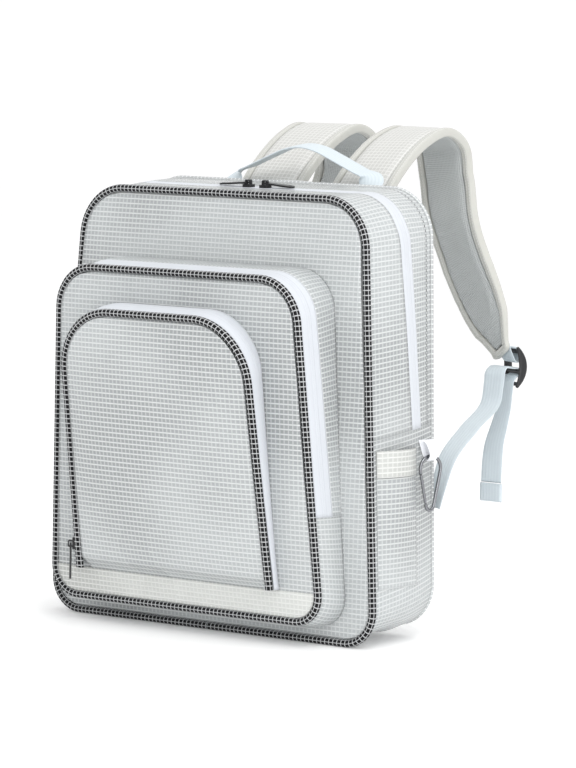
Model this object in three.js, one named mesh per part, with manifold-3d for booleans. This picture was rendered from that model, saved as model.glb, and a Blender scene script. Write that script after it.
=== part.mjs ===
// A clear mesh-reinforced backpack, standing on its base, built from its separate sewn and moulded pieces.
// Millimetres, +Z up, the front towards -Y, and the origin at the middle of the base's flat patch.
import * as THREE from "three";
import { mergeVertices } from "three/addons/utils/BufferGeometryUtils.js";
import Module from "manifold-3d";

const wasm = await Module();
wasm.setup();

// Sheet, seams and clearances
const sheetWall = 1.2;
const webbingWall = 1.6;
const clearance = 0.3;
const pipingWidth = 7.6;
const seamWidth = 4;

// Main body, measured between the centre lines of its front piping and its back seam
const bodyHeight = 430;
const bodyDepth = 104;
const frontBottomWidth = 404;
const frontTopWidth = 348;
const backBottomWidth = 397;
const backTopWidth = 359;
const frontTopRadius = 50;
const frontBottomRadius = 32;
const backTopRadius = 50;
const backBottomRadius = 42;
const frontLean = 12;
const backLean = 10;
const backRise = 8;
const frontBulge = 9;
const sideBulge = 6;
const backBulge = 27;
const backCrown = 6;
const mainTapeWidth = 16;
const zipEndHeight = 197;

// Middle pocket
const middleHeight = 332;
const middleBottomWidth = 334;
const middleTopWidth = 292;
const middleTopRadius = 44;
const middleBottomRadius = 28;
const middleLift = 26;
const middleDepthTop = 72;
const middleDepthBottom = 40;
const middleBaseBottomWidth = 342;
const middleBaseTopWidth = 288;
const middleBaseHeight = 346;
const middleBaseLift = 20;
const middleTapeWidth = 23;
const middleZipEndHeight = 126;
const middleBulge = 8;
const middleSideBulge = 3;
const bandHeight = 24;

// Small pocket
const smallBottomWidth = 238;
const smallTopWidth = 226;
const smallTopHeight = 318;
const smallTopRadius = 62;
const smallBaseBottomWidth = 252;
const smallBaseTopWidth = 222;
const smallBaseTopHeight = 325;
const smallDepthTop = 38;
const smallDepthBottom = 14;
const smallShift = 1;
const smallBaseShift = -5;
const smallBulge = 9;

// Side pockets
const sidePocketTop = 192;
const sidePocketBottom = 58;
const sideHemHeight = 26;
const sidePocketFullness = 9;

// Haul handle
const handleSpan = 176;
const handleRise = 50.5;
const handleWebbing = 25;
const handleTilt = 7;

// Shoulder straps
const strapWidth = 76;
const strapTipWidth = 34;
const strapThickness = 11;
const bindingWidth = 8;
const strapAnchorSpread = 57;
const strapTipSpread = 143.5;
const strapAnchorHeight = 418;
const strapRise = 75;
const strapDrop = 144;
const strapReach = 170;
const strapTurn = 25;

// Adjuster, lower webbing and tail
const webbingWidth = 25;
const lockWidth = 33;
const lockHeight = 41;
const lockRail = 3.2;
const lockRailEnd = 2.6;
const lockBar = 2.1;
const lockBow = 11;
const lockShift = 4;
const lockBehind = 9.5;
const lockDrop = 19;
const lowerAnchorSpread = 184;
const lowerAnchorHeight = 128;
const tailLength = 97;
const tailSwing = 25;
const tailFold = 19;

// Zip sliders and pulls
const sliderLength = 12;
const sliderWidth = 9;
const sliderWall = 3.2;
const bridgeWidth = 3.4;
const pullLength = 36;
const pullWidth = 8;
const pullWall = 1.8;
const pullHole = 4;

// Tab and snap hook
const tabWidth = 20;
const tabLength = 27;
const tabFoldWidth = 10;
const tabRise = 2;
const tabAcross = 0.8;
const hookHeight = 57;
const hookTopWidth = 29;
const hookBottomWidth = 13;
const hookWire = 3.4;
const hookTurn = 15;
const gateLength = 30;

const colours = {
  clearMesh: { color: 0xdfe6e6, roughness: 0.35, metalness: 0, transparent: true, opacity: 0.8 },
  blackCord: { color: 0x1c1c1e, roughness: 0.6, metalness: 0 },
  whiteTape: { color: 0xeef0f8, roughness: 0.8, metalness: 0 },
  creamMesh: { color: 0xe9e7dc, roughness: 0.5, metalness: 0 },
  paleWebbing: { color: 0xdbe6ec, roughness: 0.85, metalness: 0 },
  strapPad: { color: 0xd6d6d2, roughness: 0.8, metalness: 0 },
  creamBinding: { color: 0xe8e5da, roughness: 0.8, metalness: 0 },
  blackMetal: { color: 0x222224, roughness: 0.35, metalness: 0.6 },
  blackPlastic: { color: 0x202124, roughness: 0.5, metalness: 0 },
  chrome: { color: 0xd0d2d4, roughness: 0.15, metalness: 1 },
};

const bag = new THREE.Group();

const vec = (x, y, z) => new THREE.Vector3(x, y, z);
const mix = (a, b, share) => a + (b - a) * share;

// A value read off a table of rows, at a place along its key column, on straight lines between rows.
function tableValue(rows, key, column, place) {
  const after = rows.findIndex((row) => row[key] >= place);
  if (after < 0) return rows[rows.length - 1][column];
  if (after === 0) return rows[0][column];
  const [low, high] = [rows[after - 1], rows[after]];
  return mix(low[column], high[column], (place - low[key]) / (high[key] - low[key]));
}

function addPiece(name, geometry, finish, parent = bag) {
  const mesh = new THREE.Mesh(geometry, new THREE.MeshStandardMaterial(colours[finish]));
  mesh.name = name;
  parent.add(mesh);
  return mesh;
}

// The volume that an indexed mesh closes, negative where its faces point inwards.
function signedVolume(positions, index) {
  let sum = 0;
  for (let i = 0; i < index.length; i += 3) {
    const [a, b, c] = [0, 1, 2].map((k) => new THREE.Vector3().fromArray(positions, index[i + k] * 3));
    sum += a.dot(b.cross(c)) / 6;
  }
  return sum;
}

// A closed solid through a row of rings with equally many points. The ring's two halves split their faces
// along opposite diagonals, so both sides of a sheet are cut alike. An end face pairs each point of the
// first half with its opposite in the second, so a thin ring closes with a thin strip.
function loft(sections, closed = false) {
  const ring = sections[0].length;
  const positions = sections.flat().flatMap((point) => [point.x, point.y, point.z]);
  const index = [];
  const quad = (a, b, c, d) => index.push(a, b, c, a, c, d);
  const spans = closed ? sections.length : sections.length - 1;
  for (let s = 0; s < spans; s++) {
    const near = s * ring;
    const far = ((s + 1) % sections.length) * ring;
    for (let k = 0; k < ring; k++) {
      const next = (k + 1) % ring;
      if (k < ring / 2) quad(near + k, near + next, far + next, far + k);
      else quad(near + next, far + next, far + k, near + k);
    }
  }
  if (!closed) {
    const last = (sections.length - 1) * ring;
    for (let k = 0; k < ring / 2 - 1; k++) {
      quad(k, ring - 1 - k, ring - 2 - k, k + 1);
      quad(last + k, last + k + 1, last + ring - 2 - k, last + ring - 1 - k);
    }
  }
  if (signedVolume(positions, index) < 0) {
    for (let i = 0; i < index.length; i += 3) {
      [index[i + 1], index[i + 2]] = [index[i + 2], index[i + 1]];
    }
  }
  const geometry = new THREE.BufferGeometry();
  geometry.setAttribute("position", new THREE.Float32BufferAttribute(positions, 3));
  geometry.setIndex(index);
  return geometry;
}

function toSolid(geometry) {
  const bare = geometry.clone();
  for (const name of Object.keys(bare.attributes)) {
    if (name !== "position") bare.deleteAttribute(name);
  }
  const merged = mergeVertices(bare, 1e-4);
  const mesh = new wasm.Mesh({
    numProp: 3,
    vertProperties: merged.attributes.position.array,
    triVerts: new Uint32Array(merged.index.array),
  });
  return new wasm.Manifold(mesh);
}

function fromSolid(solid) {
  const mesh = solid.getMesh();
  const geometry = new THREE.BufferGeometry();
  geometry.setAttribute("position", new THREE.BufferAttribute(mesh.vertProperties, 3));
  geometry.setIndex(new THREE.BufferAttribute(mesh.triVerts, 1));
  return geometry;
}

const joined = (geometries) => fromSolid(geometries.map(toSolid).reduce((sum, solid) => sum.add(solid)));

// Adds a right-hand piece and its mirror image on the left.
function addPair(name, geometry, finish) {
  addPiece(`${name}_right`, geometry, finish);
  addPiece(`${name}_left`, fromSolid(toSolid(geometry).mirror([1, 0, 0])), finish);
}

// The right half of a rounded trapezoid, from the middle of its bottom edge up and round to the middle
// of its top edge. Each station has its place and its outward direction.
const bottomSteps = 3;
const cornerSteps = 6;
const topSteps = 3;

function halfLoop(shape, sideShares) {
  const bottomCorner = new THREE.Vector2(shape.bottomWidth / 2, shape.bottom);
  const topCorner = new THREE.Vector2(shape.topWidth / 2, shape.top);
  const side = topCorner.clone().sub(bottomCorner).normalize();
  const lean = Math.atan2(side.y, side.x);
  const stations = [];
  const push = (x, z, angle) => stations.push({ x, z, nx: Math.cos(angle), nz: Math.sin(angle) });
  const sideAngle = lean - Math.PI / 2;
  // An arc touches both edges at its corner, so its reach along each is radius / tan(half the corner).
  const bottomReach = shape.bottomRadius / Math.tan((Math.PI - lean) / 2);
  const topReach = shape.topRadius / Math.tan(lean / 2);
  const bottomCentre = { x: bottomCorner.x - bottomReach, z: shape.bottom + shape.bottomRadius };
  const topCentre = { x: topCorner.x - topReach, z: shape.top - shape.topRadius };
  for (let i = 0; i < bottomSteps; i++) {
    push((bottomCentre.x * i) / bottomSteps, shape.bottom, -Math.PI / 2);
  }
  for (let i = 0; i <= cornerSteps; i++) {
    const angle = mix(-Math.PI / 2, sideAngle, i / cornerSteps);
    const r = shape.bottomRadius;
    push(bottomCentre.x + r * Math.cos(angle), bottomCentre.z + r * Math.sin(angle), angle);
  }
  const low = stations[stations.length - 1];
  const high = {
    x: topCentre.x + shape.topRadius * Math.cos(sideAngle),
    z: topCentre.z + shape.topRadius * Math.sin(sideAngle),
  };
  for (const share of sideShares) push(mix(low.x, high.x, share), mix(low.z, high.z, share), sideAngle);
  for (let i = 0; i <= cornerSteps; i++) {
    const angle = mix(sideAngle, Math.PI / 2, i / cornerSteps);
    const r = shape.topRadius;
    push(topCentre.x + r * Math.cos(angle), topCentre.z + r * Math.sin(angle), angle);
  }
  for (let i = 1; i <= topSteps; i++) push(topCentre.x * (1 - i / topSteps), shape.top, Math.PI / 2);
  return stations;
}

// The whole loop: the right half up, then the same stations mirrored back down.
function wholeLoop(half) {
  const mirrored = half.slice(1, -1).reverse().map((s) => ({ x: -s.x, z: s.z, nx: -s.nx, nz: s.nz }));
  return [...half, ...mirrored];
}

// The half width of a loop at a height, on its right half.
function halfWidthAt(half, z) {
  return tableValue(half.slice(bottomSteps, half.length - topSteps), "z", "x", z);
}

// The side run's stations, as shares of its length, with one at the end of the zip.
function sideShares(shape, zipEnd) {
  const low = shape.bottom + shape.bottomRadius;
  const high = shape.top - shape.topRadius;
  const end = (zipEnd - low) / (high - low);
  return [end / 2, end, mix(end, 1, 1 / 3), mix(end, 1, 2 / 3)];
}

const cornerStation = bottomSteps + cornerSteps;
const zipEndStation = cornerStation + 2;

// Loops of the main body
const pipingRadius = pipingWidth / 2;
const bodyFront = {
  bottomWidth: frontBottomWidth,
  topWidth: frontTopWidth,
  bottom: pipingRadius,
  top: pipingRadius + bodyHeight,
  bottomRadius: frontBottomRadius,
  topRadius: frontTopRadius,
};
const bodyBack = {
  bottomWidth: backBottomWidth,
  topWidth: backTopWidth,
  bottom: bodyFront.bottom + backRise,
  top: bodyFront.top + backRise,
  bottomRadius: backBottomRadius,
  topRadius: backTopRadius,
};
const bodyFrontY = (z) => -bodyDepth / 2 + (frontLean * (z - bodyFront.bottom)) / bodyHeight;
const bodyBackY = (z) => bodyDepth / 2 + (backLean * (z - bodyBack.bottom)) / bodyHeight;

// How far a bulging panel stands out at a place: full over its middle and nothing at its rim.
function crown(shape, x, z) {
  const u = Math.min(1, Math.abs(x) / (shape.bottomWidth / 2));
  const v = Math.min(1, Math.abs((2 * (z - shape.bottom)) / (shape.top - shape.bottom) - 1));
  return (1 - u ** 4) * (1 - v ** 4);
}
const mainPanelY = (x, z) => bodyFrontY(z) - frontBulge * crown(bodyFront, x, z);

function inset(shape, by) {
  return {
    bottomWidth: shape.bottomWidth - 2 * by,
    topWidth: shape.topWidth - 2 * by,
    bottom: shape.bottom + by,
    top: shape.top - by,
    bottomRadius: shape.bottomRadius - by,
    topRadius: shape.topRadius - by,
  };
}

// A sheet panel inside a loop: one ring for each height, across its front and back again behind.
const panelColumns = 8;

function panelRow(z, halfWidth, surface, shift = 0) {
  const steps = Array.from({ length: panelColumns + 1 }, (_, i) => i / panelColumns);
  const xs = steps.map((step) => mix(-halfWidth, halfWidth, step));
  const front = xs.map((x) => vec(x + shift, surface(x, z) - sheetWall / 2, z));
  const back = xs.map((x) => vec(x + shift, surface(x, z) + sheetWall / 2, z)).reverse();
  return [...front, ...back];
}

function panelHeights(half, from, to) {
  const inside = half.map((s) => s.z).filter((z) => z > from + 1 && z < to - 1);
  return [from, ...new Set(inside), to];
}

function sheetPanel(half, surface, from, to, shift = 0) {
  const rows = panelHeights(half, from, to).map((z) => panelRow(z, halfWidthAt(half, z), surface, shift));
  return rows;
}

// A round cord swept along stations that lie in a leaning plane.
const cordSides = 6;
const seamSides = 4;

function cordRings(stations, depthAt, radius, sides, shift = 0) {
  return stations.map((s) =>
    Array.from({ length: sides }, (_, k) => {
      const angle = ((k + 0.5) / sides) * 2 * Math.PI;
      const out = radius * Math.cos(angle);
      return vec(s.x + s.nx * out + shift, depthAt(s) + radius * Math.sin(angle), s.z + s.nz * out);
    }),
  );
}

// A strip of sheet between a front loop and a back loop: one ring for each station, from one share of
// the depth to another over its outside and back again inside.
function gussetRings(front, back, depths, span, puff, steps, wall = sheetWall) {
  return front.map((f, i) => {
    const b = back[i];
    const near = vec(f.x, depths.front(f), f.z);
    const far = vec(b.x, depths.back(b), b.z);
    const out = vec(f.nx + b.nx, 0, f.nz + b.nz).normalize();
    const [from, to] = span(f, i, near.distanceTo(far));
    const shares = Array.from({ length: steps + 1 }, (_, k) => mix(from, to, k / steps));
    const outer = shares.map((share) =>
      near.clone().lerp(far, share).addScaledVector(out, puff(f, share)),
    );
    const inner = outer.map((point) => point.clone().addScaledVector(out, -wall)).reverse();
    return [...outer, ...inner];
  });
}

const bodyShares = sideShares(bodyFront, zipEndHeight);
const bodyFrontHalf = halfLoop(bodyFront, bodyShares);
const bodyBackHalf = halfLoop(bodyBack, bodyShares);
const bodyFrontLoop = wholeLoop(bodyFrontHalf);
const bodyBackLoop = wholeLoop(bodyBackHalf);
const bodyDepths = { front: (s) => bodyFrontY(s.z), back: (s) => bodyBackY(s.z) };

// The base hangs to the floor over a flat patch, is tucked up a little beyond the patch, and the sides
// bulge between piping and seam.
const flatFrom = 0.1;
const flatTo = 0.84;
const flatHalfWidth = 120;
const baseTuck = 5;

function flatPatch(share) {
  if (share < flatFrom) return share / flatFrom;
  if (share > flatTo) return (1 - share) / (1 - flatTo);
  return 1;
}

function bodyPuff(station, share) {
  const down = Math.max(0, -station.nz) ** 2;
  const sideways = Math.abs(station.nx);
  const toFloor = mix(pipingRadius, pipingRadius + backRise, share) * flatPatch(share);
  const tucked = -baseTuck * Math.sin(Math.PI * Math.min(1, share * 1.5 + 0.1));
  const low = Math.abs(station.x) <= flatHalfWidth ? toFloor : tucked * (share > 0.55 ? 0.4 : 1);
  return down * low + (1 - down) * sideways * sideBulge * Math.sin(Math.PI * share);
}

// Where the main zip runs: its middle, as a share of the depth, from the top's middle to the tape's end.
const zipRoute = [
  { along: 0, across: 0.5 },
  { along: 0.5, across: 0.5 },
  { along: 0.75, across: 0.6 },
  { along: 1, across: 0.68 },
];

// How far round from the top's middle a station of the whole loop lies, as a share of the zip's half run.
function alongZip(i) {
  const topStation = bodyFrontHalf.length - 1;
  return Math.abs(i - topStation) / (topStation - zipEndStation);
}

const lowerColumns = 8;
const upperRun = (loop) => loop.slice(zipEndStation, loop.length - zipEndStation + 1);
const lowerRun = (loop) => [...loop.slice(loop.length - zipEndStation), ...loop.slice(0, zipEndStation + 1)];
const upperIndex = (i) => i + zipEndStation;

function addMainBody() {
  const rim = pipingRadius + clearance;
  const panelShape = inset(bodyFront, rim);
  const panelHalf = halfLoop(panelShape, bodyShares);
  const panelRows = sheetPanel(panelHalf, mainPanelY, panelShape.bottom, panelShape.top);
  addPiece("main_front_panel", loft(panelRows), "clearMesh");
  const mainCord = cordRings(bodyFrontLoop, bodyDepths.front, pipingRadius, cordSides);
  addPiece("main_piping", loft(mainCord, true), "blackCord");

  const seamRadius = seamWidth / 2;
  const seamCord = cordRings(bodyBackLoop, bodyDepths.back, seamRadius, seamSides);
  addPiece("back_seam", loft(seamCord, true), "clearMesh");

  const frontEdge = (depth) => rim / depth;
  const rearEdge = (depth) => 1 - (seamRadius + clearance) / depth;
  const tapeMiddle = (i) => tableValue(zipRoute, "along", "across", alongZip(upperIndex(i)));
  const halfTape = (depth) => mainTapeWidth / 2 / depth;
  const runs = [upperRun(bodyFrontLoop), upperRun(bodyBackLoop)];
  const strip = (name, span, steps, finish) =>
    addPiece(name, loft(gussetRings(...runs, bodyDepths, span, bodyPuff, steps)), finish);
  strip(
    "main_gusset_front",
    (f, i, depth) => [frontEdge(depth), tapeMiddle(i) - halfTape(depth) - clearance / depth],
    2,
    "clearMesh",
  );
  strip(
    "main_zip_tape",
    (f, i, depth) => [tapeMiddle(i) - halfTape(depth), tapeMiddle(i) + halfTape(depth)],
    2,
    "whiteTape",
  );
  strip(
    "main_gusset_rear",
    (f, i, depth) => [tapeMiddle(i) + halfTape(depth) + clearance / depth, rearEdge(depth)],
    2,
    "clearMesh",
  );

  const lower = [lowerRun(bodyFrontLoop), lowerRun(bodyBackLoop)].map(lowerEnds);
  const lowerSpan = (f, i, depth) => [frontEdge(depth), rearEdge(depth)];
  addPiece(
    "main_gusset_lower",
    loft(gussetRings(...lower, bodyDepths, lowerSpan, bodyPuff, lowerColumns)),
    "clearMesh",
  );
}

// The lower run, stopped a clearance short of the upper one at each end.
function lowerEnds(run) {
  const moved = run.map((s) => ({ ...s }));
  for (const end of [moved[0], moved[moved.length - 1]]) end.z -= clearance;
  return moved;
}

// The hidden back: a plain panel that the bag's contents press outwards, most at mid height. At its top it
// rises a little above the seam and turns over towards it.
const backProfile = [
  { rise: 0, out: 0, lift: 0 },
  { rise: 0.06, out: 0.45, lift: 0 },
  { rise: 0.18, out: 0.8, lift: 0 },
  { rise: 0.5, out: 1, lift: 0 },
  { rise: 0.8, out: 1, lift: 0 },
  { rise: 0.93, out: 0.9, lift: 0.4 },
  { rise: 0.975, out: 0.7, lift: 1 },
  { rise: 0.988, out: 0.35, lift: 1.5 },
  { rise: 0.997, out: 0, lift: 0 },
];

function backPanelShape() {
  return inset(bodyBack, seamWidth / 2 + clearance);
}

// A point of the back panel's middle surface on one of the profile's rows, at a share of its half width.
function backPoint({ rise, out, lift }, across, half) {
  const shape = backPanelShape();
  const z = mix(shape.bottom, shape.top, rise);
  const depth = bodyBackY(z) + backBulge * out * (1 - across ** 4);
  return vec(across * halfWidthAt(half, z), depth, z + backCrown * lift * (1 - across ** 2) ** 2);
}

// The way that the back panel faces at a row: square to the line between the rows beside it.
function backFacing(i, across, half) {
  const below = backPoint(backProfile[Math.max(0, i - 1)], across, half);
  const above = backPoint(backProfile[Math.min(backProfile.length - 1, i + 1)], across, half);
  const along = above.sub(below);
  return vec(0, along.z, -along.y).normalize();
}

// The back panel's outside at a height, at a share of its half width from the middle.
function backPanelY(z, across) {
  const half = halfLoop(backPanelShape(), bodyShares);
  const rows = backProfile.slice(0, -2).map((row) => backPoint(row, across, half));
  return tableValue(rows, "z", "y", z);
}

function addBackPanel() {
  const half = halfLoop(backPanelShape(), bodyShares);
  const across = Array.from({ length: panelColumns + 1 }, (_, i) => mix(-1, 1, i / panelColumns));
  const rows = backProfile.map((row, i) => {
    const point = (u, way) =>
      backPoint(row, u, half).addScaledVector(backFacing(i, u, half), (way * sheetWall) / 2);
    return [...across.map((u) => point(u, 1)), ...across.map((u) => point(u, -1)).reverse()];
  });
  addPiece("back_panel", loft(rows), "clearMesh");
}

// A flat pocket on each side, whose mouth stands a little open, with a folded hem along it. It runs from
// just behind the piping to under the end of the zip.
const pocketFrom = 0.07;
const pocketTo = 0.64;

function addSidePockets() {
  const hemFoot = sidePocketTop - sideHemHeight;
  const sideRun = { front: bodyFrontHalf, back: bodyBackHalf };
  const station = (half, z) => {
    const { nx, nz } = half[cornerStation + 1];
    return { x: halfWidthAt(half, z), z, nx, nz };
  };
  const rings = (from, to, wall, levels) => {
    const heights = Array.from({ length: levels + 1 }, (_, i) => mix(from, to, i / levels));
    const full = (z, share) => {
      const open = Math.max(0, (z - sidePocketBottom) / (sidePocketTop - sidePocketBottom));
      return sidePocketFullness * open * Math.sin((Math.PI * (share - pocketFrom)) / (pocketTo - pocketFrom));
    };
    const puff = (s, share) => bodyPuff(s, share) + clearance * 1.5 + wall + full(s.z, share);
    const [front, back] = [sideRun.front, sideRun.back].map((half) => heights.map((z) => station(half, z)));
    return gussetRings(front, back, bodyDepths, () => [pocketFrom, pocketTo], puff, 8, wall);
  };
  addPair("side_pocket", loft(rings(sidePocketBottom, hemFoot - clearance, sheetWall, 4)), "clearMesh");
  addPair("side_hem", loft(rings(hemFoot, sidePocketTop, sheetWall * 1.6, 2)), "creamMesh");
}

// Loops of the middle pocket
const middleFront = {
  bottomWidth: middleBottomWidth,
  topWidth: middleTopWidth,
  bottom: middleLift,
  top: middleLift + middleHeight,
  bottomRadius: middleBottomRadius,
  topRadius: middleTopRadius,
};
const middleBase = {
  bottomWidth: middleBaseBottomWidth,
  topWidth: middleBaseTopWidth,
  bottom: middleBaseLift,
  top: middleBaseLift + middleBaseHeight,
  bottomRadius: middleBottomRadius,
  topRadius: middleTopRadius,
};
const middleShares = sideShares(middleFront, middleZipEndHeight);
const middleFrontY = (z) => {
  const depth = mix(middleDepthBottom, middleDepthTop, (z - middleLift) / middleHeight);
  return bodyFrontY(z) - depth;
};
const middlePanelY = (x, z) => middleFrontY(z) - middleBulge * crown(middleFront, x, z);

function addMiddlePocket() {
  const frontHalf = halfLoop(middleFront, middleShares);
  const frontLoop = wholeLoop(frontHalf);
  const baseLoop = wholeLoop(halfLoop(middleBase, middleShares));
  const depths = {
    front: (s) => middleFrontY(s.z),
    back: (s) => mainPanelY(s.x, s.z) - sheetWall / 2 - clearance,
  };
  const middleCord = cordRings(frontLoop, depths.front, pipingRadius, cordSides);
  addPiece("middle_piping", loft(middleCord, true), "blackCord");

  const rim = pipingRadius + clearance;
  const panelShape = inset(middleFront, rim);
  const panelHalf = halfLoop(panelShape, middleShares);
  const bandTop = panelShape.bottom + bandHeight;
  const lowerRows = sheetPanel(panelHalf, middlePanelY, panelShape.bottom, bandTop);
  const upperRows = sheetPanel(panelHalf, middlePanelY, bandTop + clearance, panelShape.top);
  addPiece("middle_lower_band", loft(lowerRows), "creamMesh");
  addPiece("middle_front_panel", loft(upperRows), "clearMesh");

  const puff = (s, share) => middleSideBulge * Math.sin(Math.PI * share);
  const upper = [upperRun(frontLoop), upperRun(baseLoop)];
  const tapeEnd = (depth) => (rim + middleTapeWidth) / depth;
  const tapeSpan = (f, i, depth) => [rim / depth, tapeEnd(depth)];
  const rearSpan = (f, i, depth) => [tapeEnd(depth) + clearance / depth, 1];
  const lowerSpan = (f, i, depth) => [rim / depth, 1];
  addPiece("middle_zip_tape", loft(gussetRings(...upper, depths, tapeSpan, puff, 2)), "whiteTape");
  addPiece("middle_gusset_rear", loft(gussetRings(...upper, depths, rearSpan, puff, 2)), "clearMesh");
  const lower = [lowerRun(frontLoop), lowerRun(baseLoop)].map(lowerEnds);
  addPiece("middle_gusset_lower", loft(gussetRings(...lower, depths, lowerSpan, puff, 4)), "clearMesh");
}

// The arched small pocket, whose foot is caught in the seam above the lower band
const seamHeight = middleLift + pipingRadius + clearance + bandHeight;
const smallFoot = seamHeight + 2;
const smallFront = {
  bottomWidth: smallBottomWidth,
  topWidth: smallTopWidth,
  bottom: smallFoot,
  top: smallTopHeight,
  bottomRadius: 1,
  topRadius: smallTopRadius,
};
const smallBase = {
  bottomWidth: smallBaseBottomWidth,
  topWidth: smallBaseTopWidth,
  bottom: smallFoot,
  top: smallBaseTopHeight,
  bottomRadius: 1,
  topRadius: smallTopRadius,
};
const smallShares = [0.25, 0.5, 0.75];
const smallFrontY = (z) => {
  const rise = (z - smallFoot) / (smallTopHeight - smallFoot);
  return middleFrontY(z) - mix(smallDepthBottom, smallDepthTop, rise) - middleBulge / 2;
};
const smallPanelY = (x, z) => smallFrontY(z) - smallBulge * crown(smallFront, x, z);

function addSmallPocket() {
  const arch = (loop) => loop.slice(cornerStation, loop.length - cornerStation + 1);
  const frontArch = arch(wholeLoop(halfLoop(smallFront, smallShares)));
  const baseArch = arch(wholeLoop(halfLoop(smallBase, smallShares)));
  const shifted = (stations, shift) => stations.map((s) => ({ ...s, x: s.x + shift }));
  const depths = {
    front: (s) => smallFrontY(s.z),
    back: (s) => middlePanelY(s.x, s.z) - sheetWall / 2 - clearance * 2,
  };
  const smallCord = cordRings(frontArch, depths.front, pipingRadius, cordSides, smallShift);
  addPiece("small_piping", loft(smallCord), "blackCord");

  const rim = pipingRadius + clearance;
  const tapeSpan = (f, i, depth) => [Math.min(0.6, rim / depth), 1];
  const puff = (s, share) => middleSideBulge * Math.sin(Math.PI * share);
  const arches = [shifted(frontArch, smallShift), shifted(baseArch, smallBaseShift)];
  const tape = gussetRings(...arches, depths, tapeSpan, puff, 2);
  addPiece("small_zip_tape", loft(tape), "whiteTape");

  // The panel's last row is turned in, down to the seam.
  const panelShape = { ...inset(smallFront, rim), bottom: smallFoot, bottomRadius: 1 };
  const half = halfLoop(panelShape, smallShares);
  const footY = (x, z) => middlePanelY(x + smallShift, z) - sheetWall - clearance * 2;
  const foot = panelRow(smallFoot, halfWidthAt(half, smallFoot) - 3, footY, smallShift);
  const rows = sheetPanel(half, smallPanelY, smallFoot + sheetWall * 2, panelShape.top, smallShift);
  addPiece("small_front_panel", loft([foot, ...rows]), "clearMesh");
}

// Frames along a smooth curve through points: its middle, its width's direction squared to it, and its
// face's direction. Each span between two points takes the same number of steps.
function ribbonFrames(points, widthWay, perSpan) {
  const curve = new THREE.CatmullRomCurve3(points, false, "centripetal");
  const steps = (points.length - 1) * perSpan;
  return Array.from({ length: steps + 1 }, (_, i) => {
    const share = i / steps;
    const tangent = curve.getTangent(share);
    const side = widthWay(share).clone();
    side.addScaledVector(tangent, -side.dot(tangent)).normalize();
    return { share, middle: curve.getPoint(share), tangent, side, out: tangent.clone().cross(side) };
  });
}

// One flat ring of a frame, between two distances from its middle along the width.
function flatRing(frame, from, to, wall, onward = 0) {
  const corner = (across, face) =>
    frame.middle
      .clone()
      .addScaledVector(frame.side, across)
      .addScaledVector(frame.out, (face * wall) / 2)
      .addScaledVector(frame.tangent, onward);
  return [corner(from, -1), corner(to, -1), corner(to, 1), corner(from, 1)];
}

function ribbon(points, widthWay, widthAt, wall, perSpan) {
  const frames = ribbonFrames(points, widthWay, perSpan);
  return loft(frames.map((f) => flatRing(f, -widthAt(f.share) / 2, widthAt(f.share) / 2, wall)));
}

// The haul handle: webbing that leaves the back panel flat, just under the top seam, then turns on edge
// and arches over.
const handleShape = [
  { along: 1, rise: 0, out: 0 },
  { along: 0.99, rise: 0.2, out: 0.35 },
  { along: 0.93, rise: 0.44, out: 1 },
  { along: 0.78, rise: 0.545, out: 1 },
  { along: 0.45, rise: 0.786, out: 1 },
  { along: 0.22, rise: 0.94, out: 1 },
  { along: 0, rise: 1, out: 1 },
];
const handleStandOff = 11;
const handleFootDrop = 14;

function addHandle() {
  const wall = webbingWall * 1.5;
  const foot = bodyBack.top - handleFootDrop;
  const across = (handleSpan - handleWebbing) / 2 / halfWidthAt(bodyBackHalf, foot);
  const footY = backPanelY(foot, across) + sheetWall / 2 + clearance + wall * 0.7;
  const leftRows = handleShape.slice(0, -1).map((row) => ({ ...row, along: -row.along }));
  const rows = [...leftRows, ...handleShape.slice().reverse()];
  const points = rows.map((row) =>
    vec((row.along * handleSpan) / 2, footY + row.out * handleStandOff, foot + row.rise * handleRise),
  );
  const tilt = THREE.MathUtils.degToRad(handleTilt);
  const way = (share) => {
    const onEdge = THREE.MathUtils.smoothstep(0.5 - Math.abs(share - 0.5), 0.06, 0.24);
    const turn = (onEdge * Math.PI) / 2;
    const side = share < 0.5 ? -1 : 1;
    return vec(Math.cos(turn) * side, Math.sin(turn) * Math.cos(tilt), Math.sin(tilt) * onEdge);
  };
  addPiece("haul_handle", ribbon(points, way, () => handleWebbing, wall, 2), "paleWebbing");
}

// The right shoulder strap's middle line: out is a share of its reach behind the back panel, up a share of
// its rise above the anchor or, below it, of its drop, and spread a share of the way from anchor to tip.
const strapRoute = [
  { out: 0, up: -0.08, spread: 0 },
  { out: 0.22, up: 0.42, spread: 0 },
  { out: 0.5, up: 0.86, spread: 0.01 },
  { out: 0.74, up: 1, spread: 0.03 },
  { out: 0.92, up: 0.78, spread: 0.04 },
  { out: 0.965, up: 0.36, spread: 0.06 },
  { out: 0.94, up: -0.1, spread: 0.19 },
  { out: 0.955, up: -0.4, spread: 0.37 },
  { out: 0.945, up: -0.6, spread: 0.56 },
  { out: 0.9, up: -0.83, spread: 0.84 },
  { out: 0.88, up: -1, spread: 1 },
];
const strapShape = [
  { along: 0, width: 1, thick: 1 },
  { along: 0.78, width: 1, thick: 1 },
  { along: 0.9, width: 0.72, thick: 0.8 },
  { along: 1, width: 0, thick: 0.6 },
];
const strapStartY =
  backPanelY(strapAnchorHeight, strapAnchorSpread / (backTopWidth / 2)) + sheetWall + strapThickness / 2;
const strapPoints = strapRoute.map((row) =>
  vec(
    mix(strapAnchorSpread, strapTipSpread, row.spread),
    strapStartY + row.out * strapReach,
    strapAnchorHeight + row.up * (row.up > 0 ? strapRise : strapDrop),
  ),
);
const strapTip = strapPoints[strapPoints.length - 1];

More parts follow.
